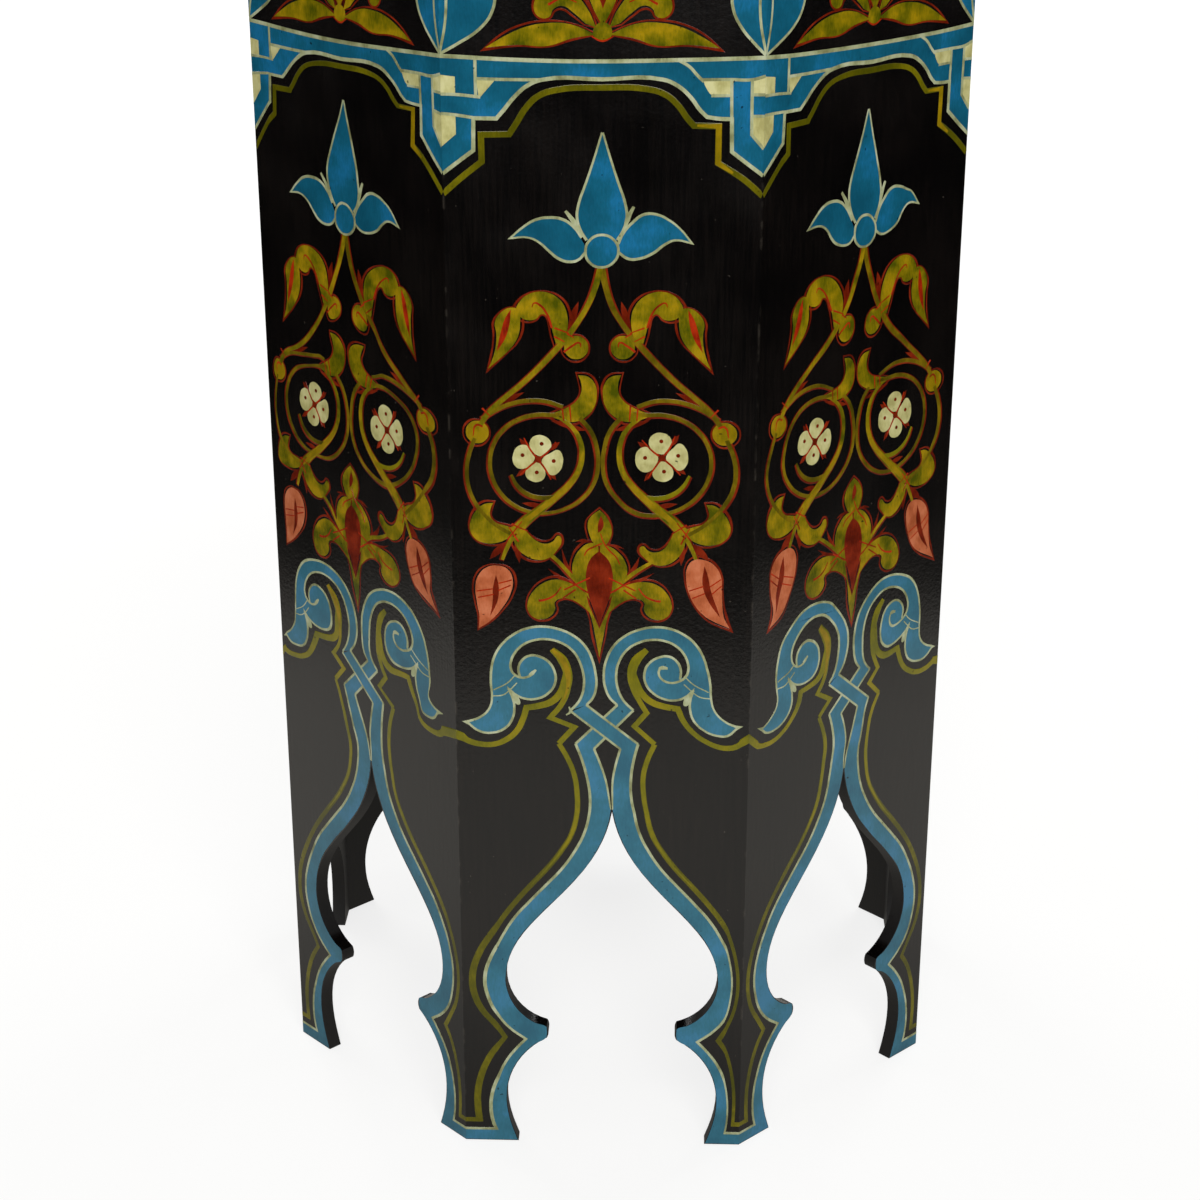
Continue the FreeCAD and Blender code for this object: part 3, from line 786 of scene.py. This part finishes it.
# Blue border along the arch with a cream line, and an olive line beside it down to the foot.
archBorder = {
    "spans": [  # the board's sawn edge, as in the CAD
        [(51, 0), (54, 8.4), (57, 16.8), (57, 28)], [(57, 28), (57, 47), (46, 59.9), (35, 66)],
        [(35, 66), (34.4, 68.3), (34.4, 70.7), (35, 73)],
        [(35, 73), (45.75, 76), (56.5, 86.5), (56.5, 103)],
        [(56.5, 103), (56.5, 140), (8, 155), (0, 203)]],
    "margin": 0.35, "steps": (0, 0.2, 0.4, 0.6, 0.8),
    "creamLine": [
        (16, 242, sharp), (13.3, 233), (11.2, 222), (10.6, 212), (11.5, 203), (14.2, 191), (19, 180.5),
        (26, 169.5), (34.6, 159.5), (43.4, 149.5), (51.6, 139.5), (58, 128.5), (63, 117), (66, 103),
        (64.6, 90), (61, 80), (55, 72), (46.2, 65, sharp), (52, 58.4), (57.6, 50), (61.6, 40), (64, 30),
        (64.6, 20), (63.8, 12), (62.6, 7.2, sharp)],
    "slit": [(0.5, 204.5), (0.9, 211), (1.8, 221), (3.9, 230), (6.8, 239.2, sharp)],
    "oliveLine": [
        (24.6, 242, sharp), (20.4, 233), (17.8, 224), (17.2, 213), (18, 203), (21, 190), (26.4, 180),
        (33.5, 170), (42, 160), (50.2, 150), (57.4, 140), (64, 128), (69, 115), (71, 103), (70.2, 92),
        (67.2, 82.5), (62.6, 74.6), (57.6, 66, sharp), (62.4, 58.6), (66, 50), (68.4, 41), (69.8, 31),
        (69.9, 21), (69.4, 13, sharp)],
    "foot": [(75, 7.2, sharp), (75, 0.4, sharp), (51.6, 0.4, sharp)],
    "creamFoot": [(75, 7.2)], "oliveFoot": [(75, 13)],
    "creamWidth": 1.6, "slitWidths": (0.7, 1.1, 1.3, 1.4), "oliveWidths": (2.9, 3.1, 2.9, 3),
    "sapWidths": (2.8, 2.8, 2.6, 1.6, 0.6), "sapPoints": 9,
}


def archEdge():
    edge = []
    for a, b, c, d in np.array(archBorder["spans"], float):
        for t in archBorder["steps"]:
            s = 1 - t
            here = s ** 3 * a + 3 * s * s * t * b + 3 * s * t * t * c + t ** 3 * d
            way = s * s * (b - a) + 2 * s * t * (c - b) + t * t * (d - c)
            inwards = archBorder["margin"] * np.array((way[1], -way[0])) / math.hypot(*way)
            edge.append(tuple(here + inwards))
    return edge


borderInside = archBorder["creamLine"] + archBorder["foot"]
creamLine = archBorder["creamLine"] + archBorder["creamFoot"]
mossLine = archBorder["oliveLine"] + archBorder["oliveFoot"]
sapLine = archBorder["oliveLine"][:archBorder["sapPoints"]]
# the arch border takes the paler blue with its painted sheen
bothHands(paintArea, "paleBlue", "body", borderInside + archEdge()[1:] + archBorder["slit"])
bothHands(paintLine, "cream", "mark", creamLine, archBorder["creamWidth"])
bothHands(paintLine, "cream", "mark", archBorder["slit"], archBorder["slitWidths"])
bothHands(paintLine, "moss", "body", mossLine, archBorder["oliveWidths"])
bothHands(paintLine, "sap", "mark", sapLine, archBorder["sapWidths"])

# Frieze under the top: half a blue palmette at each corner and a pair of olive leaves in the middle.
frieze = {
    "broadPetal": [
        (-75, 591.4, sharp), (-66, 596.4), (-57, 602.4), (-51, 610), (-49.6, 619), (-53.4, 627), (-60, 630),
        (-67, 626.4), (-71.6, 617), (-75, 604, sharp)],
    "slimPetal": [
        (75, 591.4, sharp), (69.4, 597), (63.4, 604), (59.4, 612), (59, 620), (62, 627), (66.4, 629.4),
        (70.4, 625), (72.8, 616), (75, 604, sharp)],
    "tongue": [(75, 592, sharp), (72.2, 606), (71.6, 620), (72.8, 640), (75, 656, sharp)],
    "leaf": [
        (3, 600.4, sharp), (14, 598.8), (25, 595.4), (39, 595.8), (54, 594.4, sharp), (46, 599.2),
        (37, 603.4), (27, 605.6), (15, 605.2)],
    "curl": [
        (3, 603.6, sharp), (7, 612), (13, 618.6), (21, 621.4), (28, 619.4), (31.6, 613.6), (29.4, 608.6),
        (24.6, 608.4), (22.6, 612), (18.6, 613.4), (13, 610), (8, 605.6, sharp)],
    "curlVein": [(12, 615), (18, 617), (25, 614)],
    "bud": [
        (0, 648, sharp), (6, 638), (8.4, 627), (5.6, 615), (0, 604, sharp), (-5.6, 615), (-8.4, 627),
        (-6, 638)],
    "budCore": [(0, 639, sharp), (3, 631), (3.4, 623), (0, 612, sharp), (-3.4, 623), (-3, 631)],
    "budLeaf": [(6, 622, sharp), (14, 631), (22, 643), (34, 650, sharp), (30, 638), (20, 627)],
    "budLeafCore": [(14, 629, sharp), (21, 637), (29, 646, sharp), (23, 635)],
    "ball": (0, 601.6, 4.4),
    "ballVein": [(-5, 599.6), (0, 597.6), (5, 599.6)],
    "line": [(-75, 665), (0, 665), (75, 665)],
    "curlVeinWidths": (0.6, 1.0, 1.3), "ballVeinWidths": (0.6, 1.1, 0.6),
    "petalEdge": 1.5, "tongueEdge": 1.4, "lineWidth": 2.6,
}
for leaf in ("leaf", "curl", "budLeaf"):
    edgedLeaf("olive", frieze[leaf])
bothHands(paintLine, "red", "mark", frieze["curlVein"], frieze["curlVeinWidths"])
bothHands(paintArea, "red", "mark", frieze["budLeafCore"])
edgeInRed(frieze["bud"])
paintArea("olive", "body", frieze["bud"])
paintArea("darkRed", "mark", frieze["budCore"])
paintArea("olive", "mark", ring(*frieze["ball"]))
paintLine("red", "strap", frieze["ballVein"], frieze["ballVeinWidths"])
for petal in ("broadPetal", "slimPetal"):
    paintArea("blue", "body", frieze[petal])
    paintLine("cream", "mark", frieze[petal], frieze["petalEdge"])
bothHands(paintArea, "blue", "strap", frieze["tongue"])
bothHands(paintLine, "cream", "strapMark", frieze["tongue"], frieze["tongueEdge"])
paintLine("olive", "body", frieze["line"], frieze["lineWidth"])
print("panel painting drawn:", sum(len(shapes) for shapes in stencil.values()), "strokes")


def joinPieces(pieces):
    bpy.ops.object.select_all(action="DESELECT")
    for piece in pieces:
        piece.select_set(True)
    bpy.context.view_layer.objects.active = pieces[0]
    bpy.ops.object.join()
    return bpy.context.object


def joinStrokes(colour):
    joined = joinPieces(stencil[colour])
    bpy.ops.object.mode_set(mode="EDIT")
    bpy.ops.mesh.select_all(action="SELECT")
    bpy.ops.mesh.remove_doubles(threshold=brush["weld"] * mm)
    bpy.ops.mesh.normals_make_consistent(inside=False)
    bpy.ops.object.mode_set(mode="OBJECT")
    bpy.ops.object.shade_flat()
    joined.data.materials.clear()
    joined.data.materials.append(paintMaterials[colour])
    return joined


def copyOf(drawing):
    piece = drawing.copy()
    piece.data = drawing.data.copy()
    bpy.context.collection.objects.link(piece)
    return piece


def panelAxes(number):
    turn = math.radians(360 / sides * number)
    return np.array((math.cos(turn), math.sin(turn), 0)), np.array((math.sin(turn), -math.cos(turn), 0))


# The same drawing was painted by eye on every board, so each copy drifts a little off the middle of its
# panel; at the foot it follows that panel's own arch. Panels are counted from the front one, 0.
hand = {
    "heights": (0, 203, 225, 242, 255, 285, 330, 360, 400, 450, 470, 500, 520, 555, 576, 700),
    "sway": {
        0: (5, 5, 3.4, 2.4, 0.4, -1.4, -1.8, -1.8, -1.2, -1.4, -1.5, 0, 0, 0, 0, 0),
        1: (0, 0, 0.4, 0.8, 1.2, 1.8, 0, -1.4, -2, -2, -1, -0.7, -2.4, -2, -1, 0),
        7: (2, 2, 0.4, -1.6, -3, -5, -6, -6.4, -4.8, -4.6, -4, -2, -3, 0, 0, 0)},
    "lift": {
        0: (0,) * 16,
        1: (0, 0, 0, 0, 0, 1, 0, 0, 0.4, -1, 0.6, -1, 1, 3, 0, 0),
        7: (0, 1, 1.6, 2, 2.6, 3.4, 2.8, 2.2, 2.4, 1.8, 3, 1.6, 3, 5, 0, 0)},
    "drift": 0.8, "ripple": 0.4, "rise": 0.7, "waves": (0.021, 0.047, 0.083), "phases": (2.1, 1.7),
    "traced": (0.3, 0.4), "untraced": 2,  # shares of the drift with and without a sway of its own
    "free": (190, 250),  # heights between which the paint leaves the arch
    "archTip": (200, 206), "fade": 14,
    "pulls": {  # a place on the panel, and how far the paint there is off the drawing
        0: [(-72.5, 254, 4, 0), (72.5, 254, -4.5, -1.5), (-60, 248, 0, 0), (60, 248, 0, 0),
            (-31, 343, 2.5, 2.5), (-23, 352, 2.5, 5), (-14, 342, 0, 0), (-46, 356, 0, 0),
            (-30, 367, 0, 0), (-50, 340, 0, 0), (-36, 329, 0, 0), (20, 353, -1, -3.5),
            (29, 343, 1, -1), (12, 342, 0, 0), (42, 357, 0, 0), (30, 367, 0, 0), (45, 341, 0, 0),
            (32, 329, 0, 0), (66, 304, -2, 2.5), (56, 324, 0, 0)],
        1: [(-43.5, 506, 2.3, 0), (42, 502, -2.8, 3.5), (20, 519.5, 0, -1.5), (-1, 500, 0, -1.5),
            (-1, 558, 0, -1), (-31, 481, -2, 0), (27, 481, 1.5, 1), (-13, 452, 2, -1),
            (8, 452, -1, -1), (-11, 438, 0, -3.5), (6, 438, -2.5, -3), (-62, 410, 3, 1),
            (59, 410, 0, 0), (-33, 397, 0, 0), (28, 397, 1, 0), (-51.6, 343, 0, 0),
            (-61, 330, -1.5, 0), (-66, 305, 4, -2), (51, 343, -1.5, 2.5), (60, 330, -1, 2),
            (66, 305, -1.5, 4), (1, 335, 0, 0), (1, 292, -1, -4.5), (-55, 285, -2, 0),
            (-5, 285, -2, 0), (10, 285, 2, 0), (-28, 307, 0, 0), (-33, 284, -1.5, -5),
            (-22, 280, -3.5, -5), (-33, 268, -1, -2.5), (-73, 254, 9, -6.5), (-60, 247.5, 2, -2.5),
            (-60, 240.5, 0, -1.5), (72.5, 254, -3.5, 2), (60, 248, -2, 4), (46, 262, 0, 2),
            (62, 240, -2, 3), (1, 255, -2, -2), (-27, 256, 4, 0), (-24, 241, 2.5, 0), (0, 228, 2.5, 0),
            (0, 205, 0, 0), (16, 261, 0, -5.5), (14, 252, 2.5, -3), (-13, 259.5, -1, -3),
            (-12, 251, 0, -4), (25, 261, 0, -3), (17, 242, 0, 0), (-5, 241, 3, -1),
            (-13, 241.5, 1, -1)],
        7: [(19, 521.5, 1, -3), (-8, 540, -2.7, 0), (6, 540, 2, 0), (-1, 560, 0, 0), (41, 505, 0, -1),
            (-45, 508, -1, 0.5), (-33, 482, -3, 0), (25, 482, 3.5, 0), (12, 468, 0, 0),
            (-22, 468, 0, 0), (43, 462, 3, 0), (50, 444, 2.5, -2), (-59, 444, 0, -4),
            (-50, 465, 0, -1), (-16, 454, 3.5, -0.5), (6, 454, -1, -2), (-31, 450, 4, -4),
            (-45, 437, 4, -4), (-62, 416, 0, -1), (30, 443, -2.5, -2.5), (42, 432, -2, -2),
            (55, 412, 1.5, -1), (-14, 440, -6.5, 0), (-8, 428, 0, 0), (7, 440, 7, -3), (-2, 428, 0, 0),
            (-36, 399, 1, 0), (25, 399, 1, -1), (-57, 343, 1.5, 5), (-64, 328, 2, 4), (-66, 310, 0, 4),
            (-47, 335, 1, 2), (46, 346, 0, -2), (37, 336, 2, -2), (55, 336, 2, 0),
            (60, 308, -1.5, 3.5), (24, 348, 4, -5), (-35, 349, 2, 4), (-6, 340, 0, 0), (-6, 366, 0, 0),
            (-73, 254, 3, 4), (-62, 250, 0, 4), (-48, 258, -4, 2), (-62, 242, -2, 5.5),
            (73, 253.5, -15, 1), (60, 250, -6.5, -1.5), (41, 260, 1.5, 1), (62, 242.5, -5, -1.5),
            (51, 280, 2.5, 0), (-37, 285, -2.5, 1), (28, 285, 0, 0), (0, 254, 0, 0),
            (-32, 261, 4.5, 1), (-17, 254, -3, -1.5), (-28, 245, -1, 1.5), (-13, 232, -3.5, 0),
            (12, 232, 0, 0), (0, 204, 0, 0), (12.5, 264, -2.5, -4), (4, 267, -3, -2),
            (0.5, 283, 2.5, 0), (-10, 283, -1, 0)]},
    "pullReach": 8, "pullEase": 0.1, "pullEdge": 1.5,
}


def archMiddle(number, along):
    points = readPoints(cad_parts["side_panel_%d" % (number + 1)]) / mm
    lowest, highest = hand["archTip"]
    tip = points[(points[:, 2] > lowest) & (points[:, 2] < highest)]
    return float((tip @ along).mean())


def layOnPanel(stroke, number):
    along, out = panelAxes(number)
    u, z, height = readPoints(stroke).T / mm
    fade = np.clip((corner - abs(u)) / hand["fade"], 0, 1)
    low, high = hand["free"]
    free = np.clip((z - low) / (high - low), 0, 1)
    slow, middling, quick = hand["waves"]
    swayPhase, liftPhase = hand["phases"]
    wander = np.sin(slow * z + swayPhase * number) + hand["ripple"] * np.sin(quick * z + number)
    wander = hand["drift"] * free * wander
    lift = hand["drift"] * hand["rise"] * free * np.sin(middling * u + liftPhase * number)
    if number in hand["sway"]:
        swayShare, liftShare = hand["traced"]
        sway = np.interp(z, hand["heights"], hand["sway"][number]) + swayShare * wander
        lift = np.interp(z, hand["heights"], hand["lift"][number]) + liftShare * lift
    else:
        sway = archMiddle(number, along) * (1 - free) + hand["untraced"] * wander
    u = u + fade * sway
    z = z + fade * lift
    shift = np.zeros((2, len(u)))
    share = np.full(len(u), hand["pullEase"])
    for pulledU, pulledZ, *pull in hand["pulls"].get(number, ()):
        near = np.exp(-((u - pulledU) ** 2 + (z - pulledZ) ** 2) / (2 * hand["pullReach"] ** 2))
        shift += np.outer(pull, near)
        share += near
    shift *= np.clip((corner - abs(u)) / hand["pullEdge"], 0, 1) / share
    u = np.clip(u + shift[0], -corner, corner)  # a stroke that runs over the board's edge ends there
    z = z + shift[1]
    points = np.outer(u, along) + np.outer(z, (0, 0, 1)) + np.outer(faceDistance / mm + height, out)
    writePoints(stroke, points * mm)


def layStencil(numbers, name):
    for colour in list(stencil):
        drawing = joinStrokes(colour)
        for number in numbers:
            piece = copyOf(drawing)
            piece.name = piece.data.name = "%s%s%d" % (colour, name, number + 1)
            layOnPanel(piece, number)
            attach(piece, "root")
        bpy.data.objects.remove(drawing, do_unlink=True)
    stencil.clear()


layStencil(range(sides), "Painting")

# The left hanging leaf is round on some boards and pointed on others, a few olive steps are yellower,
# and on some the brush overran the end of a strap.
boards = {
    "roundLeaf": [
        (-51.2, 339.5), (-46, 337.6), (-43.4, 331.5), (-44.6, 324.5), (-49, 316.5), (-55, 309.6),
        (-60.8, 305.4, sharp), (-60.4, 312), (-61.6, 320), (-62.2, 328), (-60, 334.8), (-56, 338.6)],
    "roundCore": [
        (-51.6, 334.5, sharp), (-50.4, 328.5), (-51, 321), (-55, 312, sharp), (-53.6, 320), (-53.2, 328)],
    "roundHatches": [
        [(-61.6, 325.6), (-53.4, 327)], [(-61, 322.2), (-53, 324)], [(-50.4, 330), (-43.8, 331.8)],
        [(-50.6, 326.2), (-44.4, 329)]],
    "roundLeafOn": (0, 7, 3, 5), "pointedLeafOn": (1, 2, 4, 6),
    "yellowStep": [(44, 558.9), (54, 558.8, sharp), (54, 541.6, sharp), (61, 537)],
    "yellowStepWidths": (1.2, 3, 3, 1.4), "yellowStepOn": (0, 1, 7, 4),
    "overrun": [(-18.6, 258.2), (-16.4, 260), (-16.8, 262.8)],
    "overrunWidths": (0.7, 1.4, 0.8), "overrunOn": (0, 3, 6),
}
hangLeaf(boards["roundLeaf"], boards["roundCore"], boards["roundHatches"])
layStencil(boards["roundLeafOn"], "RoundLeaf")
hangLeaf(otherHand(lowerLeaves["hangingLeaf"]), otherHand(lowerLeaves["hangingCore"]),
         [otherHand(hatch) for hatch in lowerLeaves["hatches"]])
layStencil(boards["pointedLeafOn"], "PointedLeaf")
paintLine("ochre", "mark", boards["yellowStep"], boards["yellowStepWidths"])
layStencil(boards["yellowStepOn"], "YellowStep")
paintLine("cream", "strapMark", boards["overrun"], boards["overrunWidths"])
layStencil(boards["overrunOn"], "Overrun")
print("painting laid on the eight panels")

# The top is drawn for one eighth, distance from the middle upwards, and repeated round the octagon.
topDrawing = {
    "strap": [(-76, 183.5, sharp), (76, 183.5, sharp), (79.9, 193, sharp), (-79.9, 193, sharp)],
    "strapEdges": [[(-76, 183.5), (0, 183.5), (76, 183.5)], [(-79.9, 193), (0, 193), (79.9, 193)]],
    "line": [
        (70.4, 170), (58, 167, sharp), (54.4, 157, sharp), (44, 156.6, sharp), (38, 151.6), (26, 146.8),
        (0, 145.4)],
    "palmetteFoot": (0, 100), "palmetteSize": 0.62, "sideTurn": 3,
    "stem": [(0.3, 95), (2, 88), (6, 80), (11.4, 73)],
    "hook": [
        (8.6, 76, sharp), (8.4, 82), (11, 87), (15.6, 89), (20.2, 87.4), (22, 83.4), (20, 80.4),
        (16.6, 80.4), (14.4, 82), (12.6, 79.6), (11.4, 75, sharp)],
    "leaf": [(20.6, 84, sharp), (21, 79), (22.6, 75), (27, 70.4, sharp), (26.4, 76), (27, 81), (24.6, 84)],
    "leafCore": [(23.2, 83, sharp), (24.8, 79), (25.4, 74.6, sharp), (23, 78.4)],
    "ball": (5.4, 72.4, 3.2),
    "sprig": [(29.5, 104), (38, 112), (46, 122), (53, 134)],
    "sprigLeaves": [
        [(35, 110, sharp), (30, 116), (29.4, 123), (33, 130, sharp), (37.4, 123), (37.6, 116)],
        [(44, 119, sharp), (40.4, 126), (41, 133), (45.4, 139.6, sharp), (48.6, 132), (48, 125)]],
    "salmonLeaf": [
        (52, 133, sharp), (47.6, 140), (47.4, 146), (51, 151), (57.8, 154.6, sharp), (58.6, 148),
        (58.4, 141), (56, 136)],
    "salmonCore": [(52.6, 137, sharp), (51.4, 143), (55.8, 151.4, sharp), (55.4, 143)],
    "star": [
        (-23.2, 56, sharp), (-12, 59), (0, 66, sharp), (12, 59), (23.2, 56, sharp), (20.3, 49, sharp),
        (10, 51.6), (0, 57.6, sharp), (-10, 51.6), (-20.3, 49, sharp)],
    "starEdges": [
        [(-23.2, 56), (-12, 59), (0, 66, sharp), (12, 59), (23.2, 56)],
        [(-20.3, 49), (-10, 51.6), (0, 57.6, sharp), (10, 51.6), (20.3, 49)]],
    "petal": [
        (0, 14.5, sharp), (4.6, 21), (9.6, 31), (9.4, 40), (4.8, 45.4), (0, 46.6), (-4.8, 45.4),
        (-9.4, 40), (-9.6, 31), (-4.6, 21)],
    "petalCore": [(0, 22, sharp), (2.2, 30), (2, 36), (0, 40, sharp), (-2, 36), (-2.2, 30)],
    "petalGap": [(6.8, 16.4), (13, 31.4), (17, 41)],
    "heart": [(0, 0, sharp), (4.97, 12, sharp), (0, 13, sharp), (-4.97, 12, sharp)],
    "heartDot": (0, 8, 1.6),
    "strapEdgeWidth": 1.8, "lineWidth": 2.8, "middleWidths": (1.3, 1.2, 0.9), "sideWidth": 1.2,
    "dartWidths": (0.6, 1.5, 1.0), "ringWidth": 1.2, "stemWidths": (2.2, 2, 2),
    "sprigWidths": (1.6, 2, 1.6), "starEdgeWidth": 1.5, "gapWidths": (1.0, 1.6, 0.8),
}
paintArea("blue", "body", topDrawing["strap"])
for edge in topDrawing["strapEdges"]:
    paintLine("cream", "mark", edge, topDrawing["strapEdgeWidth"])
topLine = topDrawing["line"] + otherHand(topDrawing["line"][-2::-1])
paintLine("moss", "body", topLine, topDrawing["lineWidth"])


def onTop(points):
    fromRing = [(u, z - palmette["ring"][1], *rest) for u, z, *rest in points]
    return turned(fromRing, topDrawing["palmetteFoot"], 0, topDrawing["palmetteSize"])


sidePlace = onTop([palmette["sideFoot"]])[0]
topSide, topSideEdge = (
    turned(palmette[shape], sidePlace, topDrawing["sideTurn"], topDrawing["palmetteSize"])
    for shape in ("side", "sideEdge"))
topRing = ring(*topDrawing["palmetteFoot"], palmette["ring"][2] * topDrawing["palmetteSize"])
paintArea("blue", "body", onTop(palmette["middle"]))
bothHands(paintLine, "cream", "mark", onTop(palmette["middleEdge"]), topDrawing["middleWidths"])
bothHands(paintArea, "blue", "body", topSide)
bothHands(paintLine, "cream", "mark", topSideEdge, topDrawing["sideWidth"])
bothHands(paintLine, "cream", "strap", onTop(palmette["dart"]), topDrawing["dartWidths"])
paintArea("blue", "strap", topRing)
paintLine("cream", "strapMark", topRing, topDrawing["ringWidth"], True)
oliveStem(topDrawing["stem"], topDrawing["stemWidths"])
oliveStem(topDrawing["sprig"], topDrawing["sprigWidths"])
for leaf in ("hook", "leaf"):
    edgedLeaf("olive", topDrawing[leaf])
for leaf in topDrawing["sprigLeaves"]:
    edgedLeaf("olive", leaf)
edgedLeaf("olive", ring(*topDrawing["ball"]))
edgedLeaf("salmon", topDrawing["salmonLeaf"])
bothHands(paintArea, "red", "mark", topDrawing["leafCore"])
bothHands(paintArea, "darkRed", "mark", topDrawing["salmonCore"])
paintArea("blue", "body", topDrawing["star"])
for edge in topDrawing["starEdges"]:
    paintLine("cream", "mark", edge, topDrawing["starEdgeWidth"])
paintArea("white", "body", topDrawing["petal"])
paintArea("darkRed", "mark", topDrawing["petalCore"])
bothHands(paintLine, "red", "under", topDrawing["petalGap"], topDrawing["gapWidths"])
paintArea("olive", "body", topDrawing["heart"])
paintArea("darkRed", "mark", ring(*topDrawing["heartDot"]))


def layOnTop(stroke, number):
    along, out = panelAxes(number)
    u, r, height = readPoints(stroke).T
    writePoints(stroke, np.outer(u, along) + np.outer(r, out) + np.outer(tableTop + height, (0, 0, 1)))


for colour in list(stencil):
    drawing = joinStrokes(colour)
    eighths = [copyOf(drawing) for number in range(sides)]
    for number, eighth in enumerate(eighths):
        layOnTop(eighth, number)
    bpy.data.objects.remove(drawing, do_unlink=True)
    piece = joinPieces(eighths)
    piece.name = piece.data.name = "%sTopPainting" % colour
    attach(piece, "root")
bpy.data.objects.remove(brushTip, do_unlink=True)
print("painting laid on the top")

# Pale matt floor, in metres. Seen in glossy rays only, it glows as a painted reflection: painted shade
# right by the table, bright a little way off and painted dark further off, standing in for a sheet in a
# room.
floor = {
    "size": 14, "below": 0.0005, "colour": "#f1f0ec", "paintedReflectionTint": "#fffaf0", "white": 1.12, "shaded": 0.7,
    "shade": (0.8, 3.0),  # distances at which the table's shadow begins to fade and is gone
    # brightness of the painted reflection by distance; the low first value is painted shade under the table
    "paintedReflectionGlow": [(0.18, 0.34), (0.4, 0.66), (0.76, 0.68), (0.94, 0.06), (1.6, 0.005)],  # distance, brightness
}


def paleFloor():
    material, tree = newMaterial("paleMattFloor")
    reach = vectors(tree, "LENGTH", "Value", objectPlace(tree))
    farthest = floor["paintedReflectionGlow"][-1][0]
    paintedReflectionGlow = ramp(tree, reckoned(tree, "DIVIDE", reach, farthest),
                *[(off / farthest, grey(bright)) for off, bright in floor["paintedReflectionGlow"]])
    rays = addNode(tree, "ShaderNodeLightPath")
    matt = addNode(tree, "ShaderNodeBsdfDiffuse", {"Color": linear(floor["colour"])}).outputs["BSDF"]
    white = addNode(tree, "ShaderNodeEmission", {
        "Color": grey(1), "Strength": floor["white"]}).outputs["Emission"]
    # painted reflection: an emission that only glossy rays see, bright or dark by distance from the table
    paintedReflectionShader = addNode(tree, "ShaderNodeEmission", {
        "Color": linear(floor["paintedReflectionTint"]), "Strength": paintedReflectionGlow}).outputs["Emission"]
    bare = mapped(tree, reach, floor["shade"], (floor["shaded"], 1))
    seen = reckoned(tree, "MULTIPLY", rays.outputs["Is Camera Ray"], bare)
    direct = addNode(tree, "ShaderNodeMixShader", {0: seen, 1: matt, 2: white}).outputs["Shader"]
    shader = addNode(tree, "ShaderNodeMixShader", {
        0: rays.outputs["Is Glossy Ray"], 1: direct, 2: paintedReflectionShader}).outputs["Shader"]
    addNode(tree, "ShaderNodeOutputMaterial", {"Surface": shader})
    return material


bpy.ops.object.select_all(action="DESELECT")
bpy.ops.mesh.primitive_plane_add(size=floor["size"], location=(0, 0, -floor["below"]))
floorSheet = bpy.context.object
floorSheet.name = "floorSheet"
floorSheet.data.materials.append(paleFloor())

# Soft studio light: a broad lamp in front, two behind at the sides, and a pale room.
studio = {
    "room": 0.3, "aim": (0, 0, 0.35),
    "lamps": [  # place, size, watts
        ((0.34, -2.4, 1.65), 1.6, 50), ((1.6, 1.9, 1.5), 1.4, 24), ((-1.6, 1.9, 1.5), 1.4, 24)],
}
for place, size, power in studio["lamps"]:
    bpy.ops.object.light_add(type="AREA", location=place)
    lamp = bpy.context.object
    lamp.data.size = size
    lamp.data.energy = power
    aim = np.array(studio["aim"]) - np.array(place)
    tilt = math.pi - math.acos(aim[2] / np.linalg.norm(aim))
    lamp.rotation_euler = (tilt, 0, math.atan2(aim[1], aim[0]) - math.pi / 2)
world = bpy.data.worlds.new("paleRoom")
bpy.context.scene.world = world
world.use_nodes = True
tree = world.node_tree
tree.nodes.clear()
rays = addNode(tree, "ShaderNodeLightPath")
strength = mapped(tree, rays.outputs["Is Camera Ray"], (0, 1), (studio["room"], 1))
room = addNode(tree, "ShaderNodeBackground", {"Color": grey(1), "Strength": strength})
addNode(tree, "ShaderNodeOutputWorld", {"Surface": room.outputs["Background"]})

# Camera at the photograph's viewing angle.
view = {"place": (0.0375, -1.301, 0.7734), "down": 21.96, "turn": 1.98, "lens": 72.4, "sensor": 36}
bpy.ops.object.camera_add(
    location=view["place"], rotation=(math.radians(90 - view["down"]), 0, math.radians(view["turn"])))
camera = bpy.context.object
camera.data.lens = view["lens"]
camera.data.sensor_width = view["sensor"]
bpy.context.scene.camera = camera
bpy.context.scene.view_settings.view_transform = "Standard"
print("floor, light and camera placed")
